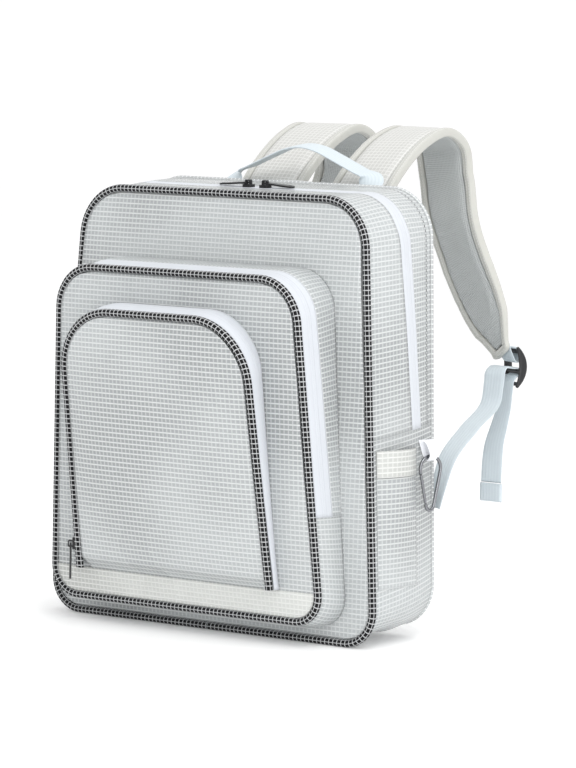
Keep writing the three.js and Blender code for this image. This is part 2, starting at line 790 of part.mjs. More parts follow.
// The strap's width turns outwards as it spreads.
const strapWay = (share) => {
  const turn = THREE.MathUtils.degToRad(strapTurn * share);
  return vec(Math.cos(turn), -Math.sin(turn), 0);
};
const strapWidthAt = (share) =>
  mix(strapTipWidth, strapWidth, tableValue(strapShape, "along", "width", share));
const strapThicknessAt = (share) => strapThickness * tableValue(strapShape, "along", "thick", share);

// The pad's section: its long edges are thinner than its middle.
const padSection = [
  { across: -1, thick: 0.72 },
  { across: -0.8, thick: 1 },
  { across: 0.8, thick: 1 },
  { across: 1, thick: 0.72 },
];
const bindingShare = 0.8;

function addShoulderStraps() {
  const frames = ribbonFrames(strapPoints, strapWay, 2);
  const padded = frames.map((frame) => {
    const half = strapWidthAt(frame.share) / 2 - bindingWidth - clearance * 2;
    const point = (row, face) =>
      frame.middle
        .clone()
        .addScaledVector(frame.side, row.across * half)
        .addScaledVector(frame.out, (face * row.thick * strapThicknessAt(frame.share)) / 2);
    return [...padSection.map((row) => point(row, -1)), ...padSection.map((row) => point(row, 1)).reverse()];
  });
  addPair("shoulder_pad", loft(padded), "strapPad");

  // The binding runs down one edge, across the tip and up the other.
  const edgeRing = (frame, way) => {
    const outer = (way * strapWidthAt(frame.share)) / 2;
    return flatRing(frame, outer - way * bindingWidth, outer, bindingShare * strapThicknessAt(frame.share));
  };
  const last = frames[frames.length - 1];
  const cornerRing = (way) => {
    const outer = (way * strapTipWidth) / 2;
    const wall = bindingShare * strapThicknessAt(1);
    const near = flatRing(last, outer - way * bindingWidth, outer, wall, clearance * 2);
    const far = flatRing(last, outer - way * bindingWidth, outer, wall, clearance * 2 + bindingWidth);
    return [near[0], far[1], far[2], near[3]];
  };
  const down = frames.map((frame) => edgeRing(frame, 1));
  const up = frames.map((frame) => edgeRing(frame, -1)).reverse();
  addPair("shoulder_binding", loft([...down, cornerRing(1), cornerRing(-1), ...up]), "creamBinding");
}

// The black ladder lock behind the strap's tip, in its own frame: w along its bars, n backwards, h up. Its
// two rails bow backwards between three bars.
const lockPlace = (() => {
  const turn = THREE.MathUtils.degToRad(strapTurn);
  const across = vec(Math.cos(turn), -Math.sin(turn), 0);
  const back = vec(Math.sin(turn), Math.cos(turn), 0);
  const centre = strapTip.clone().addScaledVector(across, lockShift).addScaledVector(back, lockBehind);
  return { across, back, centre: centre.add(vec(0, 0, -lockDrop)) };
})();
const inLock = (n, h, w = 0) =>
  lockPlace.centre
    .clone()
    .addScaledVector(lockPlace.across, w)
    .addScaledVector(lockPlace.back, n)
    .add(vec(0, 0, h));
const lockBars = {
  top: { n: 3.4, h: 16 },
  middle: { n: 6, h: -5 },
  bottom: { n: 2.4, h: -17.4 },
};

const barSides = 7;

function lockSolid() {
  const half = lockHeight / 2;
  const steps = 6;
  const heights = Array.from({ length: steps + 1 }, (_, i) => mix(-half, half, i / steps));
  const bow = (h) => lockBow * (1 - (h / half) ** 2);
  const outline = [
    ...heights.map((h) => new THREE.Vector2(bow(h) + lockRailEnd / 2, h)),
    ...heights.map((h) => new THREE.Vector2(bow(h) * 0.3 - lockRailEnd / 2, h)).reverse(),
  ];
  const rail = extruded(new THREE.Shape(outline), lockRail);
  const toFrame = new THREE.Matrix4().makeBasis(lockPlace.back, vec(0, 0, 1), lockPlace.across);
  const parts = [-1, 1].map((way) => {
    const inner = way < 0 ? -lockWidth / 2 : lockWidth / 2 - lockRail;
    return rail.clone().applyMatrix4(toFrame.clone().setPosition(inLock(0, 0, inner)));
  });
  for (const { n, h } of Object.values(lockBars)) {
    const bar = new THREE.CylinderGeometry(lockBar, lockBar, lockWidth - lockRail, barSides);
    bar.rotateX(Math.PI / 2);
    parts.push(bar.applyMatrix4(toFrame.clone().setPosition(inLock(n, h))));
  }
  return joined(parts);
}

function extruded(shape, depth, curveSegments = 3) {
  return new THREE.ExtrudeGeometry(shape, { depth, bevelEnabled: false, curveSegments });
}

// Points on the way of a webbing's middle round a lock's bar, from one angle to another.
function roundBar({ n, h }, from, to, count) {
  const reach = lockBar + clearance * 2 + webbingWall / 2;
  return Array.from({ length: count + 1 }, (_, i) => {
    const angle = mix(from, to, i / count);
    return inLock(n + reach * Math.cos(angle), h + reach * Math.sin(angle));
  });
}

// The lower webbing's slack curve from the lock to the bag's lower corner. Its columns are shares of the
// way between them: spread sideways, back in depth, and up in height.
const webbingRoute = [
  { spread: 0.02, back: 0.9, up: 1.01 },
  { spread: 0.04, back: 0.86, up: 0.98 },
  { spread: 0.07, back: 0.838, up: 0.88 },
  { spread: 0.155, back: 0.784, up: 0.73 },
  { spread: 0.52, back: 0.484, up: 0.567 },
  { spread: 0.98, back: 0.151, up: 0.367 },
  { spread: 1.16, back: 0.02, up: 0.142 },
  { spread: 1.1, back: 0, up: 0 },
];
const webbingTurn = [
  { along: 0.4, turn: 25 },
  { along: 0.56, turn: 0 },
  { along: 0.72, turn: 5 },
  { along: 1, turn: 30 },
];
const tailRoute = [
  { forward: 0.16, down: 0.2 },
  { forward: 0.46, down: 0.38 },
  { forward: 0.84, down: 0.6 },
  { forward: 0.96, down: 0.8 },
  { forward: 1, down: 1 },
];
const loopRoute = [
  { n: 1, h: 5.4 },
  { n: 4.4, h: 5.8 },
  { n: 6.9, h: 10.6 },
  { n: 7.1, h: 16.2 },
  { n: 3.4, h: 19.8 },
  { n: 0.9, h: 19 },
];
const tailLead = [
  { n: 5.2, h: -8.8 },
  { n: 1.2, h: -10.6 },
  { n: -1.7, h: -14.8 },
  { n: -2.6, h: -20.5 },
];

function addLowerWebbing() {
  addPair("ladder_lock", lockSolid(), "blackPlastic");

  // A short loop, stitched behind the strap's tip, dips and holds the lock's top bar.
  const frames = ribbonFrames(strapPoints, strapWay, 2);
  const legAt = (frame, onward) => {
    const behind = strapThicknessAt(frame.share) / 2 + clearance * 2 + webbingWall / 2;
    return frame.middle.clone().addScaledVector(frame.out, -behind).addScaledVector(frame.tangent, onward);
  };
  const tip = frames[frames.length - 1];
  const loopPoints = [
    legAt(frames[frames.length - 2], 0),
    legAt(tip, 0),
    legAt(tip, bindingWidth),
    ...loopRoute.map(({ n, h }) => inLock(n, h)),
  ];
  const loopWay = (share) => tip.side.clone().lerp(lockPlace.across, Math.min(1, share * 3));
  addPair("lock_loop", ribbon(loopPoints, loopWay, () => webbingWidth, webbingWall, 2), "paleWebbing");

  const anchorAcross = (lowerAnchorSpread - webbingWidth / 2) / halfWidthAt(bodyBackHalf, lowerAnchorHeight);
  const anchorY = backPanelY(lowerAnchorHeight, anchorAcross) + sheetWall / 2 + clearance * 4 + webbingWall;
  const wrap = [...roundBar(lockBars.middle, -0.5 * Math.PI, 0.56 * Math.PI, 4), inLock(-1.5, -1)];
  const start = wrap[wrap.length - 1];
  const slack = webbingRoute.map((row) =>
    vec(
      mix(start.x, lowerAnchorSpread, row.spread),
      mix(anchorY, start.y, row.back),
      mix(lowerAnchorHeight, start.z, row.up),
    ),
  );
  const way = (share) => {
    const turn = THREE.MathUtils.degToRad(tableValue(webbingTurn, "along", "turn", share));
    return vec(Math.cos(turn), -Math.sin(turn), 0);
  };
  const whole = ribbon([...wrap, ...slack], way, () => webbingWidth, webbingWall, 2);
  addPair("lower_webbing", whole, "paleWebbing");

  // The tail hangs from under the lock's middle bar, in front of its bottom bar; its end is folded over.
  const lead = tailLead.map(({ n, h }) => inLock(n, h));
  const tailEndWay = vec(1, 0, 0);
  const hang = tailRoute.map((row) =>
    lead[3].clone().add(vec(0, -row.forward * tailSwing, -row.down * tailLength)),
  );
  const tailPoints = [...lead, ...hang];
  const turned = (share) => THREE.MathUtils.smoothstep(share, 0.4, 0.9);
  const tailWay = (share) => lockPlace.across.clone().lerp(tailEndWay, turned(share));
  addPair("strap_tail", ribbon(tailPoints, tailWay, () => webbingWidth, webbingWall, 2), "paleWebbing");
  const end = tailPoints[tailPoints.length - 1];
  const foldPoints = [0, 1].map((share) => end.clone().add(vec(0, 0, -clearance * 2 - share * tailFold)));
  const foldWidth = webbingWidth + webbingWall;
  const fold = ribbon(foldPoints, () => tailEndWay, () => foldWidth, webbingWall * 3, 1);
  addPair("tail_fold", fold, "paleWebbing");
}

// A rectangle with rounded corners.
function roundedRectangle(width, height, radius) {
  const [x, y] = [width / 2 - radius, height / 2 - radius];
  const path = new THREE.Shape();
  path.moveTo(x + radius, -y);
  path.absarc(x, y, radius, 0, Math.PI / 2);
  path.absarc(-x, y, radius, Math.PI / 2, Math.PI);
  path.absarc(-x, -y, radius, Math.PI, 1.5 * Math.PI);
  path.absarc(x, -y, radius, 1.5 * Math.PI, 2 * Math.PI);
  return path;
}

// A zip slider's body, in its own frame: the pull lies along +X, the tape is the plane z = 0.
const holeHalf = 1.9;
const holeHigh = 3.4;
const bridgeLeg = 1.5;
const bridgeTop = 1.3;
const pivotHeight = sliderWall + holeHigh / 2;

function sliderSolid() {
  const plate = extruded(roundedRectangle(sliderLength, sliderWidth, 3), sliderWall);
  const side = new THREE.Shape();
  const half = holeHalf + bridgeLeg;
  const high = holeHigh + bridgeTop;
  const sunk = 0.3;
  side.moveTo(-half, -sunk);
  side.lineTo(half, -sunk);
  side.lineTo(half, high - 1);
  side.lineTo(half - 1, high);
  side.lineTo(1 - half, high);
  side.lineTo(-half, high - 1);
  const hole = new THREE.Path();
  hole.moveTo(-holeHalf, 0);
  hole.lineTo(-holeHalf, holeHigh);
  hole.lineTo(holeHalf, holeHigh);
  hole.lineTo(holeHalf, 0);
  side.holes.push(hole);
  const bridge = extruded(side, bridgeWidth).translate(0, 0, -bridgeWidth / 2);
  bridge.rotateX(Math.PI / 2).translate(0, 0, sliderWall);
  return joined([plate, bridge]);
}

// The pull, in its own frame: its bar lies on the Y axis and its tab along +X.
const barHalf = 0.8;
const eyeEnd = 4.7;
const eyeHalf = bridgeWidth / 2 + 0.4;

function pullSolid() {
  const outline = new THREE.Shape();
  const [wide, waist] = [pullWidth / 2, pullWidth * 0.36];
  outline.moveTo(-barHalf, -wide + 0.6);
  outline.lineTo(eyeEnd, -wide + 0.2);
  outline.lineTo(eyeEnd + 5, -waist);
  outline.lineTo(pullLength * 0.62, -wide);
  outline.lineTo(pullLength - wide, -wide);
  outline.absarc(pullLength - wide, 0, wide, -Math.PI / 2, Math.PI / 2);
  outline.lineTo(pullLength * 0.62, wide);
  outline.lineTo(eyeEnd + 5, waist);
  outline.lineTo(eyeEnd, wide - 0.2);
  outline.lineTo(-barHalf, wide - 0.6);
  const eye = new THREE.Path();
  eye.moveTo(barHalf, -eyeHalf);
  eye.lineTo(barHalf, eyeHalf);
  eye.lineTo(eyeEnd, eyeHalf);
  eye.lineTo(eyeEnd, -eyeHalf);
  const hole = new THREE.Path();
  hole.absarc(pullLength - wide, 0, pullHole / 2, 0, 2 * Math.PI, true);
  outline.holes.push(eye, hole);
  return extruded(outline, pullWall, 4).translate(0, 0, -pullWall / 2);
}

// A slider on a tape, with its pull: origin on the tape's face, along towards the pull, out of the tape.
function addSlider(name, origin, along, out, pullWay) {
  const forward = along.clone().addScaledVector(out, -along.dot(out)).normalize();
  const across = out.clone().cross(forward);
  const seat = origin.clone().addScaledVector(out, clearance);
  const body = new THREE.Group();
  body.applyMatrix4(new THREE.Matrix4().makeBasis(forward, across, out).setPosition(seat));
  bag.add(body);
  addPiece(`${name}_slider`, sliderSolid(), "blackMetal", body);
  const pivot = seat.clone().addScaledVector(out, pivotHeight);
  const lie = pullWay.clone().addScaledVector(across, -pullWay.dot(across)).normalize();
  const pull = new THREE.Group();
  const upward = lie.clone().cross(across);
  pull.applyMatrix4(new THREE.Matrix4().makeBasis(lie, across, upward).setPosition(pivot));
  bag.add(pull);
  addPiece(`${name}_pull`, pullSolid(), "blackMetal", pull);
}

// Two sliders meet on the top, their pulls lying outwards; the pockets' sliders stand at the foot of
// their zips' left ends, their pulls hanging.
const pullDroop = 4.2;
const sliderSpacing = 21;
const sliderShift = 3;
const middleSliderHeight = 150;
const smallSliderHeight = 80;

function addSliders() {
  const front = vec(0, bodyFrontY(bodyFront.top), bodyFront.top);
  const back = vec(0, bodyBackY(bodyBack.top), bodyBack.top);
  const topOut = vec(1, 0, 0).cross(back.clone().sub(front)).normalize();
  const lie = THREE.MathUtils.degToRad(pullDroop);
  for (const [side, name] of [[-1, "main_left"], [1, "main_right"]]) {
    const origin = front.clone().lerp(back, zipRoute[0].across);
    origin.x = sliderShift + (side * sliderSpacing) / 2;
    const along = vec(side, 0, 0);
    const pullWay = along.clone().multiplyScalar(Math.cos(lie)).addScaledVector(topOut, -Math.sin(lie));
    addSlider(name, origin, along, topOut, pullWay);
  }
  const down = vec(0, 0, -1);
  const onSide = (half, baseHalf, frontY, backY, z, share, puff, shifts) => {
    const near = vec(-halfWidthAt(half, z) + shifts[0], frontY(z), z);
    const farAcross = -halfWidthAt(baseHalf, z) + shifts[1];
    const far = vec(farAcross, backY(farAcross, z), z);
    const out = vec(0, 0, 1).cross(far.clone().sub(near)).normalize();
    out.multiplyScalar(out.x < 0 ? 1 : -1);
    const reach = share(near.distanceTo(far));
    const lift = puff * Math.sin(Math.PI * reach) + 0.2;
    return { origin: near.lerp(far, reach).addScaledVector(out, lift), out };
  };
  const rim = pipingRadius + clearance;
  const middleHalf = halfLoop(middleFront, middleShares);
  const middleBaseHalf = halfLoop(middleBase, middleShares);
  const middle = onSide(middleHalf, middleBaseHalf, middleFrontY, mainPanelY, middleSliderHeight,
    (depth) => (rim + middleTapeWidth / 2) / depth, middleSideBulge, [0, 0]);
  addSlider("middle", middle.origin, down, middle.out, down);
  const smallHalf = halfLoop(smallFront, smallShares);
  const smallBaseHalf = halfLoop(smallBase, smallShares);
  const small = onSide(smallHalf, smallBaseHalf, smallFrontY, middlePanelY, smallSliderHeight,
    () => 0.55, middleSideBulge, [smallShift, smallBaseShift]);
  addSlider("small", small.origin, down, small.out, down);
}

// A round wire along points that lie in one plane.
function wire(points, planeNormal, radius, sides) {
  const rings = points.map((point, i) => {
    const before = points[Math.max(0, i - 1)];
    const after = points[Math.min(points.length - 1, i + 1)];
    const radial = planeNormal.clone().cross(after.clone().sub(before)).normalize();
    return Array.from({ length: sides }, (_, k) => {
      const angle = ((k + 0.5) / sides) * 2 * Math.PI;
      return point
        .clone()
        .addScaledVector(radial, radius * Math.cos(angle))
        .addScaledVector(planeNormal, radius * Math.sin(angle));
    });
  });
  return loft(rings);
}

// The tab at the right end of the main zip, as a teardrop of tape round the hook's top wire. Its columns
// are distances out from the gusset and down from the tab's root, as shares of the tab's length.
const tabRoute = [
  { out: 0.13, down: 0 },
  { out: 0.18, down: 0.3 },
  { out: 0.23, down: 0.56 },
  { out: 0.4, down: 0.72 },
  { out: 0.58, down: 0.56 },
  { out: 0.54, down: 0.3 },
  { out: 0.4, down: 0.06 },
  { out: 0.27, down: 0.01 },
];
const wireSides = 6;
const hookOut = 0.4;
const hookDown = 0.57;

function addTabAndHook() {
  const height = zipEndHeight + tabRise;
  const nearX = halfWidthAt(bodyFrontHalf, height);
  const farX = halfWidthAt(bodyBackHalf, height);
  const surfaceX = mix(nearX, farX, tabAcross) + sideBulge * Math.sin(Math.PI * tabAcross) + webbingWall;
  const rootY = mix(bodyFrontY(height), bodyBackY(height), tabAcross);
  const turn = THREE.MathUtils.degToRad(hookTurn);
  const along = vec(Math.sin(turn), Math.cos(turn), 0);
  const outward = vec(Math.cos(turn), -Math.sin(turn), 0);
  const root = vec(surfaceX, rootY, height);
  const at = (out, down) => {
    const outer = root.clone().addScaledVector(outward, out * tabLength);
    return outer.add(vec(0, 0, -down * tabLength));
  };
  const points = tabRoute.map((row) => at(row.out, row.down));
  const narrow = (share) => mix(tabWidth, tabFoldWidth, Math.sin(Math.PI * share));
  addPiece("zip_tab", ribbon(points, () => along, narrow, webbingWall, 2), "whiteTape");

  // The hook's outline, from the gate's top end over, round and up to its foot. Distances are from the
  // middle of its top wire: u towards the rear, v up.
  const top = at(hookOut, hookDown);
  const place = (u, v) => top.clone().addScaledVector(along, u).add(vec(0, 0, v));
  const topR = (hookTopWidth - hookWire) / 2;
  const lowR = (hookBottomWidth - hookWire) / 2;
  const lowV = -(hookHeight - hookWire) + lowR;
  const slant = Math.asin((topR - lowR) / (-lowV - topR));
  const arc = (radius, v, from, to, steps) =>
    Array.from({ length: steps + 1 }, (_, i) => {
      const angle = mix(from, to, i / steps);
      return [radius * Math.cos(angle), v + radius * Math.sin(angle)];
    });
  const highLeft = [-topR * Math.cos(slant), -topR - topR * Math.sin(slant)];
  const lowLeft = [-lowR * Math.cos(slant), lowV - lowR * Math.sin(slant)];
  const onLeft = (share) => [mix(highLeft[0], lowLeft[0], share), mix(highLeft[1], lowLeft[1], share)];
  const sideLength = Math.hypot(highLeft[0] - lowLeft[0], highLeft[1] - lowLeft[1]);
  const gateFrom = 0.06;
  const gateTo = gateFrom + gateLength / sideLength;
  const gap = clearance / sideLength;
  const outline = [
    onLeft(gateFrom - gap),
    ...arc(topR, -topR, Math.PI + slant, -slant, 8),
    ...arc(lowR, lowV, -slant, -Math.PI + slant, 6),
    onLeft(gateTo + gap * 3),
  ];
  const hookPoints = outline.map(([u, v]) => place(u, v));
  addPiece("carabiner_hook", wire(hookPoints, outward, hookWire / 2, wireSides), "chrome");
  const gatePoints = [gateFrom, gateTo].map((share) => place(...onLeft(share)));
  addPiece("carabiner_gate", wire(gatePoints, outward, hookWire / 2 - 0.2, wireSides), "chrome");
}

addMainBody();
addBackPanel();
addSidePockets();
addMiddlePocket();
addSmallPocket();
addHandle();
addShoulderStraps();
addLowerWebbing();
addSliders();
addTabAndHook();

export default bag;
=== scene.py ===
# %% [markdown]
# # A clear backpack, dressed over its solids
# The bag is sewn from clear vinyl sheet that has a white woven grid inside. Its edges are corded in black,
# its zips are white, and its straps are padded. Every shape here is worked out on a grid of two numbers with
# numpy, in millimetres, because the bag is made of strips and panels that each have a length and a width of
# their own.

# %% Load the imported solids
import math

import bpy
import bmesh
import numpy as np
from mathutils import Matrix


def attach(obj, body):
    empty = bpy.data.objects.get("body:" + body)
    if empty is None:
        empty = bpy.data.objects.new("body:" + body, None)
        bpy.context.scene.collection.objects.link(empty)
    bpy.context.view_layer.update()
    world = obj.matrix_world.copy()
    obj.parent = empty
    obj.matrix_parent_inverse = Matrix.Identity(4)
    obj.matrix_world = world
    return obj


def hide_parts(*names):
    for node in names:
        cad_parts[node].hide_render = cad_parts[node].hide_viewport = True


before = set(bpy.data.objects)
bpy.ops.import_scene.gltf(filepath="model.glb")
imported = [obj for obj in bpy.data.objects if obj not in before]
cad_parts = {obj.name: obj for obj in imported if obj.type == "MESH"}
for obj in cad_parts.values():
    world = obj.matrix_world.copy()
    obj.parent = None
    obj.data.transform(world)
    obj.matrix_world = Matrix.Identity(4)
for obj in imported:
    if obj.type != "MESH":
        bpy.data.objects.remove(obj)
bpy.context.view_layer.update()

# %% [markdown]
# ## Camera
# The eye of the photograph was found by matching the corded edges of the bag with their place in the picture.
# A long lens stands about four metres away, to the right of the front and a little above the middle.

# %% The camera, from its turn, tilt and roll
eye_place = np.array([2558.55, -3306.08, 627.70])
eye_turn, eye_tilt, eye_roll = np.radians([37.145, 5.262, 0.9645])
eye_right = np.array([math.cos(eye_turn), math.sin(eye_turn), 0.0])
level_way = np.array([-math.sin(eye_turn), math.cos(eye_turn), 0.0])
eye_way = level_way * math.cos(eye_tilt) + np.array([0, 0, -1]) * math.sin(eye_tilt)
eye_up = np.cross(eye_right, eye_way)
rolled_right = eye_right * math.cos(eye_roll) + eye_up * math.sin(eye_roll)
rolled_up = eye_up * math.cos(eye_roll) - eye_right * math.sin(eye_roll)

camera = bpy.data.objects.new("camera", bpy.data.cameras.new("camera"))
bpy.context.collection.objects.link(camera)
placed = np.eye(4)
placed[:3, 0], placed[:3, 1] = rolled_right, rolled_up
placed[:3, 2], placed[:3, 3] = -eye_way, eye_place / 1000
camera.matrix_world = Matrix(placed)
camera.data.sensor_width = 36
camera.data.lens = 4200 * 36 / 768
camera.data.clip_end = 60
bpy.context.scene.camera = camera
print("camera at", camera.matrix_world.translation[:])

# %% [markdown]
# ## From numbers to a mesh
# A surface is an array of rows and columns of points. Each cell of it becomes one four-cornered face, and its
# two running lengths are kept as a UV map in metres, so that a woven grid can be drawn at its true size on
# any piece.

# %% A mesh from a grid of points
def surface(name, grid, across, along, loop_rows=False, loop_columns=False):
    """Faces between neighbours of a (rows, columns, 3) array in mm; across and along are UV lengths in mm."""
    grid = np.asarray(grid, float)
    rows, columns = grid.shape[:2]
    row_cells = rows if loop_rows else rows - 1
    column_cells = columns if loop_columns else columns - 1
    i, j = np.meshgrid(np.arange(row_cells), np.arange(column_cells), indexing="ij")
    i, j = i.ravel(), j.ravel()
    corner_rows, corner_columns = np.stack([i, i, i + 1, i + 1], 1), np.stack([j, j + 1, j + 1, j], 1)
    quads = (corner_rows % rows) * columns + corner_columns % columns
    of_length = lambda length: length[corner_rows % length.shape[0], corner_columns % length.shape[1]]
    uv = np.stack([of_length(across), of_length(along)], -1) / 1000
    points = grid.reshape(-1, 3)
    a, b, c, d = (points[quads[:, k]] for k in range(4))
    volume = lambda p, q, r: np.einsum("ij,ij->i", p, np.cross(q, r)).sum()
    if loop_columns and volume(a, b, c) + volume(a, c, d) < 0:
        quads, uv = quads[:, ::-1], uv[:, ::-1]
    mesh = bpy.data.meshes.new(name)
    mesh.vertices.add(len(points))
    mesh.vertices.foreach_set("co", (points / 1000).ravel())
    mesh.loops.add(quads.size)
    mesh.loops.foreach_set("vertex_index", np.ascontiguousarray(quads).ravel())
    mesh.polygons.add(len(quads))
    mesh.polygons.foreach_set("loop_start", np.arange(len(quads)) * 4)
    mesh.update(calc_edges=True)
    mesh.uv_layers.new(name="UVMap").data.foreach_set("uv", np.ascontiguousarray(uv).ravel())
    mesh.polygons.foreach_set("use_smooth", np.ones(len(quads), bool))
    piece = bpy.data.objects.new(name, mesh)
    bpy.context.collection.objects.link(piece)
    return piece


def joined_up(piece, gap=0.00001):
    """Points that lie within gap of each other become one, which closes seams and poles."""
    work = bmesh.new()
    work.from_mesh(piece.data)
    bmesh.ops.remove_doubles(work, verts=work.verts, dist=gap)
    bmesh.ops.dissolve_degenerate(work, edges=work.edges, dist=gap / 10)
    work.to_mesh(piece.data)
    work.free()
    return piece


def walled(piece, wall):
    """A sheet gets its thickness, in mm, half to each side."""
    modifier = piece.modifiers.new("wall", "SOLIDIFY")
    modifier.thickness = wall / 1000
    modifier.offset = 0
    return piece


def dress(piece, finish, slot, *nodes, body="bag"):
    """The piece takes its finish, rides on its body and stands for the solids that it replaces."""
    piece.data.materials.append(finish.material)
    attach(piece, body)
    if nodes:
        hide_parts(*nodes)
    print(f"{piece.name}: {len(piece.data.polygons)} faces")
    return piece


def mirrored(piece, name):
    """The left copy of a right piece: x changes its sign, and each face turns round so that it points out."""
    mesh = piece.data.copy()
    mesh.name = name
    places = np.empty(len(mesh.vertices) * 3)
    mesh.vertices.foreach_get("co", places)
    places[0::3] *= -1
    mesh.vertices.foreach_set("co", places)
    mesh.flip_normals()
    twin = bpy.data.objects.new(name, mesh)
    bpy.context.collection.objects.link(twin)
    for modifier in piece.modifiers:
        copy = twin.modifiers.new(modifier.name, modifier.type)
        if modifier.type == "SOLIDIFY":
            copy.thickness, copy.offset = modifier.thickness, modifier.offset
    return twin


def right_and_left(piece, finish, slot, node):
    """Dresses a right piece and its mirror image; both take the place of node_right and node_left."""
    twin = mirrored(piece, piece.name.replace("right", "left"))
    dress(piece, finish, slot, f"{node}_right")
    dress(twin, finish, slot, f"{node}_left")


def smooth_step(value, low, high):
    """Nothing below low, all above high, and an even S between them."""
    share = np.clip((value - low) / (high - low), 0, 1)
    return share * share * (3 - 2 * share)


def run_lengths(points):
    """How far along a row of points each one lies, in mm."""
    return np.concatenate([[0], np.cumsum(np.linalg.norm(np.diff(points, axis=0), axis=1))])


print("mesh helpers ready")

# %% [markdown]
# ## Room and light
# The bag stands on a pale floor that curves up into a pale wall, under wide soft lights. A sweep like this
# has no horizon, so nothing but the bag and its shadow shows.

# %% The sweep, as a profile carried sideways
def sweep_profile(reach, radius, height):
    """Floor, a quarter round and a wall, as (distance, height) pairs in mm."""
    turn = np.linspace(-np.pi / 2, 0, 24)
    bend = np.stack([reach + radius * np.cos(turn), radius + radius * np.sin(turn)], 1)
    return np.vstack([[[-9000, 0]], bend, [[reach + radius, height]]])


profile = sweep_profile(6000, 1500, 9000)
sideways = np.linspace(-9000, 9000, 9)
sweep = (
    level_way[None, None, :] * profile[:, None, :1]
    + eye_right[None, None, :] * sideways[None, :, None]
    + np.array([0, 0, 1.0])[None, None, :] * profile[:, None, 1:]
)
lengths = np.broadcast_to(run_lengths(profile)[:, None], sweep.shape[:2])
floor = surface("floor", sweep, np.broadcast_to(sideways, sweep.shape[:2]), lengths)
print("sweep of", len(floor.data.polygons), "faces")


# %% Soft lights and a white sky
def soft_light(name, place, aim, width, height, power):
    """An area light, in metres and watts, that looks from its place at its aim."""
    lamp = bpy.data.objects.new(name, bpy.data.lights.new(name, "AREA"))
    lamp.data.shape = "RECTANGLE"
    lamp.data.size, lamp.data.size_y, lamp.data.energy = width, height, power
    away = np.array(place, float) - np.array(aim, float)
    away /= np.linalg.norm(away)
    side = np.cross([0, 0, 1], away)
    side /= np.linalg.norm(side)
    basis = np.eye(4)
    basis[:3, 0], basis[:3, 1], basis[:3, 2], basis[:3, 3] = side, np.cross(away, side), away, place
    lamp.matrix_world = Matrix(basis)
    bpy.context.collection.objects.link(lamp)


soft_light("key", (1.9, -1.4, 2.6), (0, 0, 0.25), 1.6, 1.2, 32)
soft_light("front", (2.4, -2.1, 0.8), (0, 0, 0.25), 1.4, 1.8, 26)
soft_light("top", (0.2, 0.4, 2.8), (0, 0, 0.3), 1.6, 1.6, 18)
world = bpy.data.worlds.new("room")
bpy.context.scene.world = world
world.use_nodes = True
world.node_tree.nodes["Background"].inputs["Color"].default_value = (1, 1, 1, 1)
world.node_tree.nodes["Background"].inputs["Strength"].default_value = 0.86
bpy.context.scene.view_settings.view_transform = "Standard"
bpy.context.scene.cycles.transparent_max_bounces = 32
print("three soft lights and a white sky")

# %% [markdown]
# ## Writing a finish as sums
# A finish is a short formula on the surface's own lengths: where am I in the weave, and what colour, gloss
# and height are there. The class below lets a node's output take Python's operators, so the formula reads as
# it is said.

# %% Sums that build their own nodes
class Value:
    """A number of the surface: +, -, * and / each add one Math node behind it."""

    def __init__(self, finish, socket):
        self.finish, self.socket = finish, socket

    def calc(self, operation, *others):
        inputs = dict(enumerate((self, *others)))
        return self.finish.node("ShaderNodeMath", {"operation": operation}, inputs)

    def __add__(self, other):
        return self.calc("ADD", other)

    def __sub__(self, other):
        return self.calc("SUBTRACT", other)

    def __rsub__(self, other):
        return self.finish.node("ShaderNodeMath", {"operation": "SUBTRACT"}, {0: other, 1: self})

    def __mul__(self, other):
        return self.calc("MULTIPLY", other)

    def __truediv__(self, other):
        return self.calc("DIVIDE", other)

    __radd__, __rmul__ = __add__, __mul__


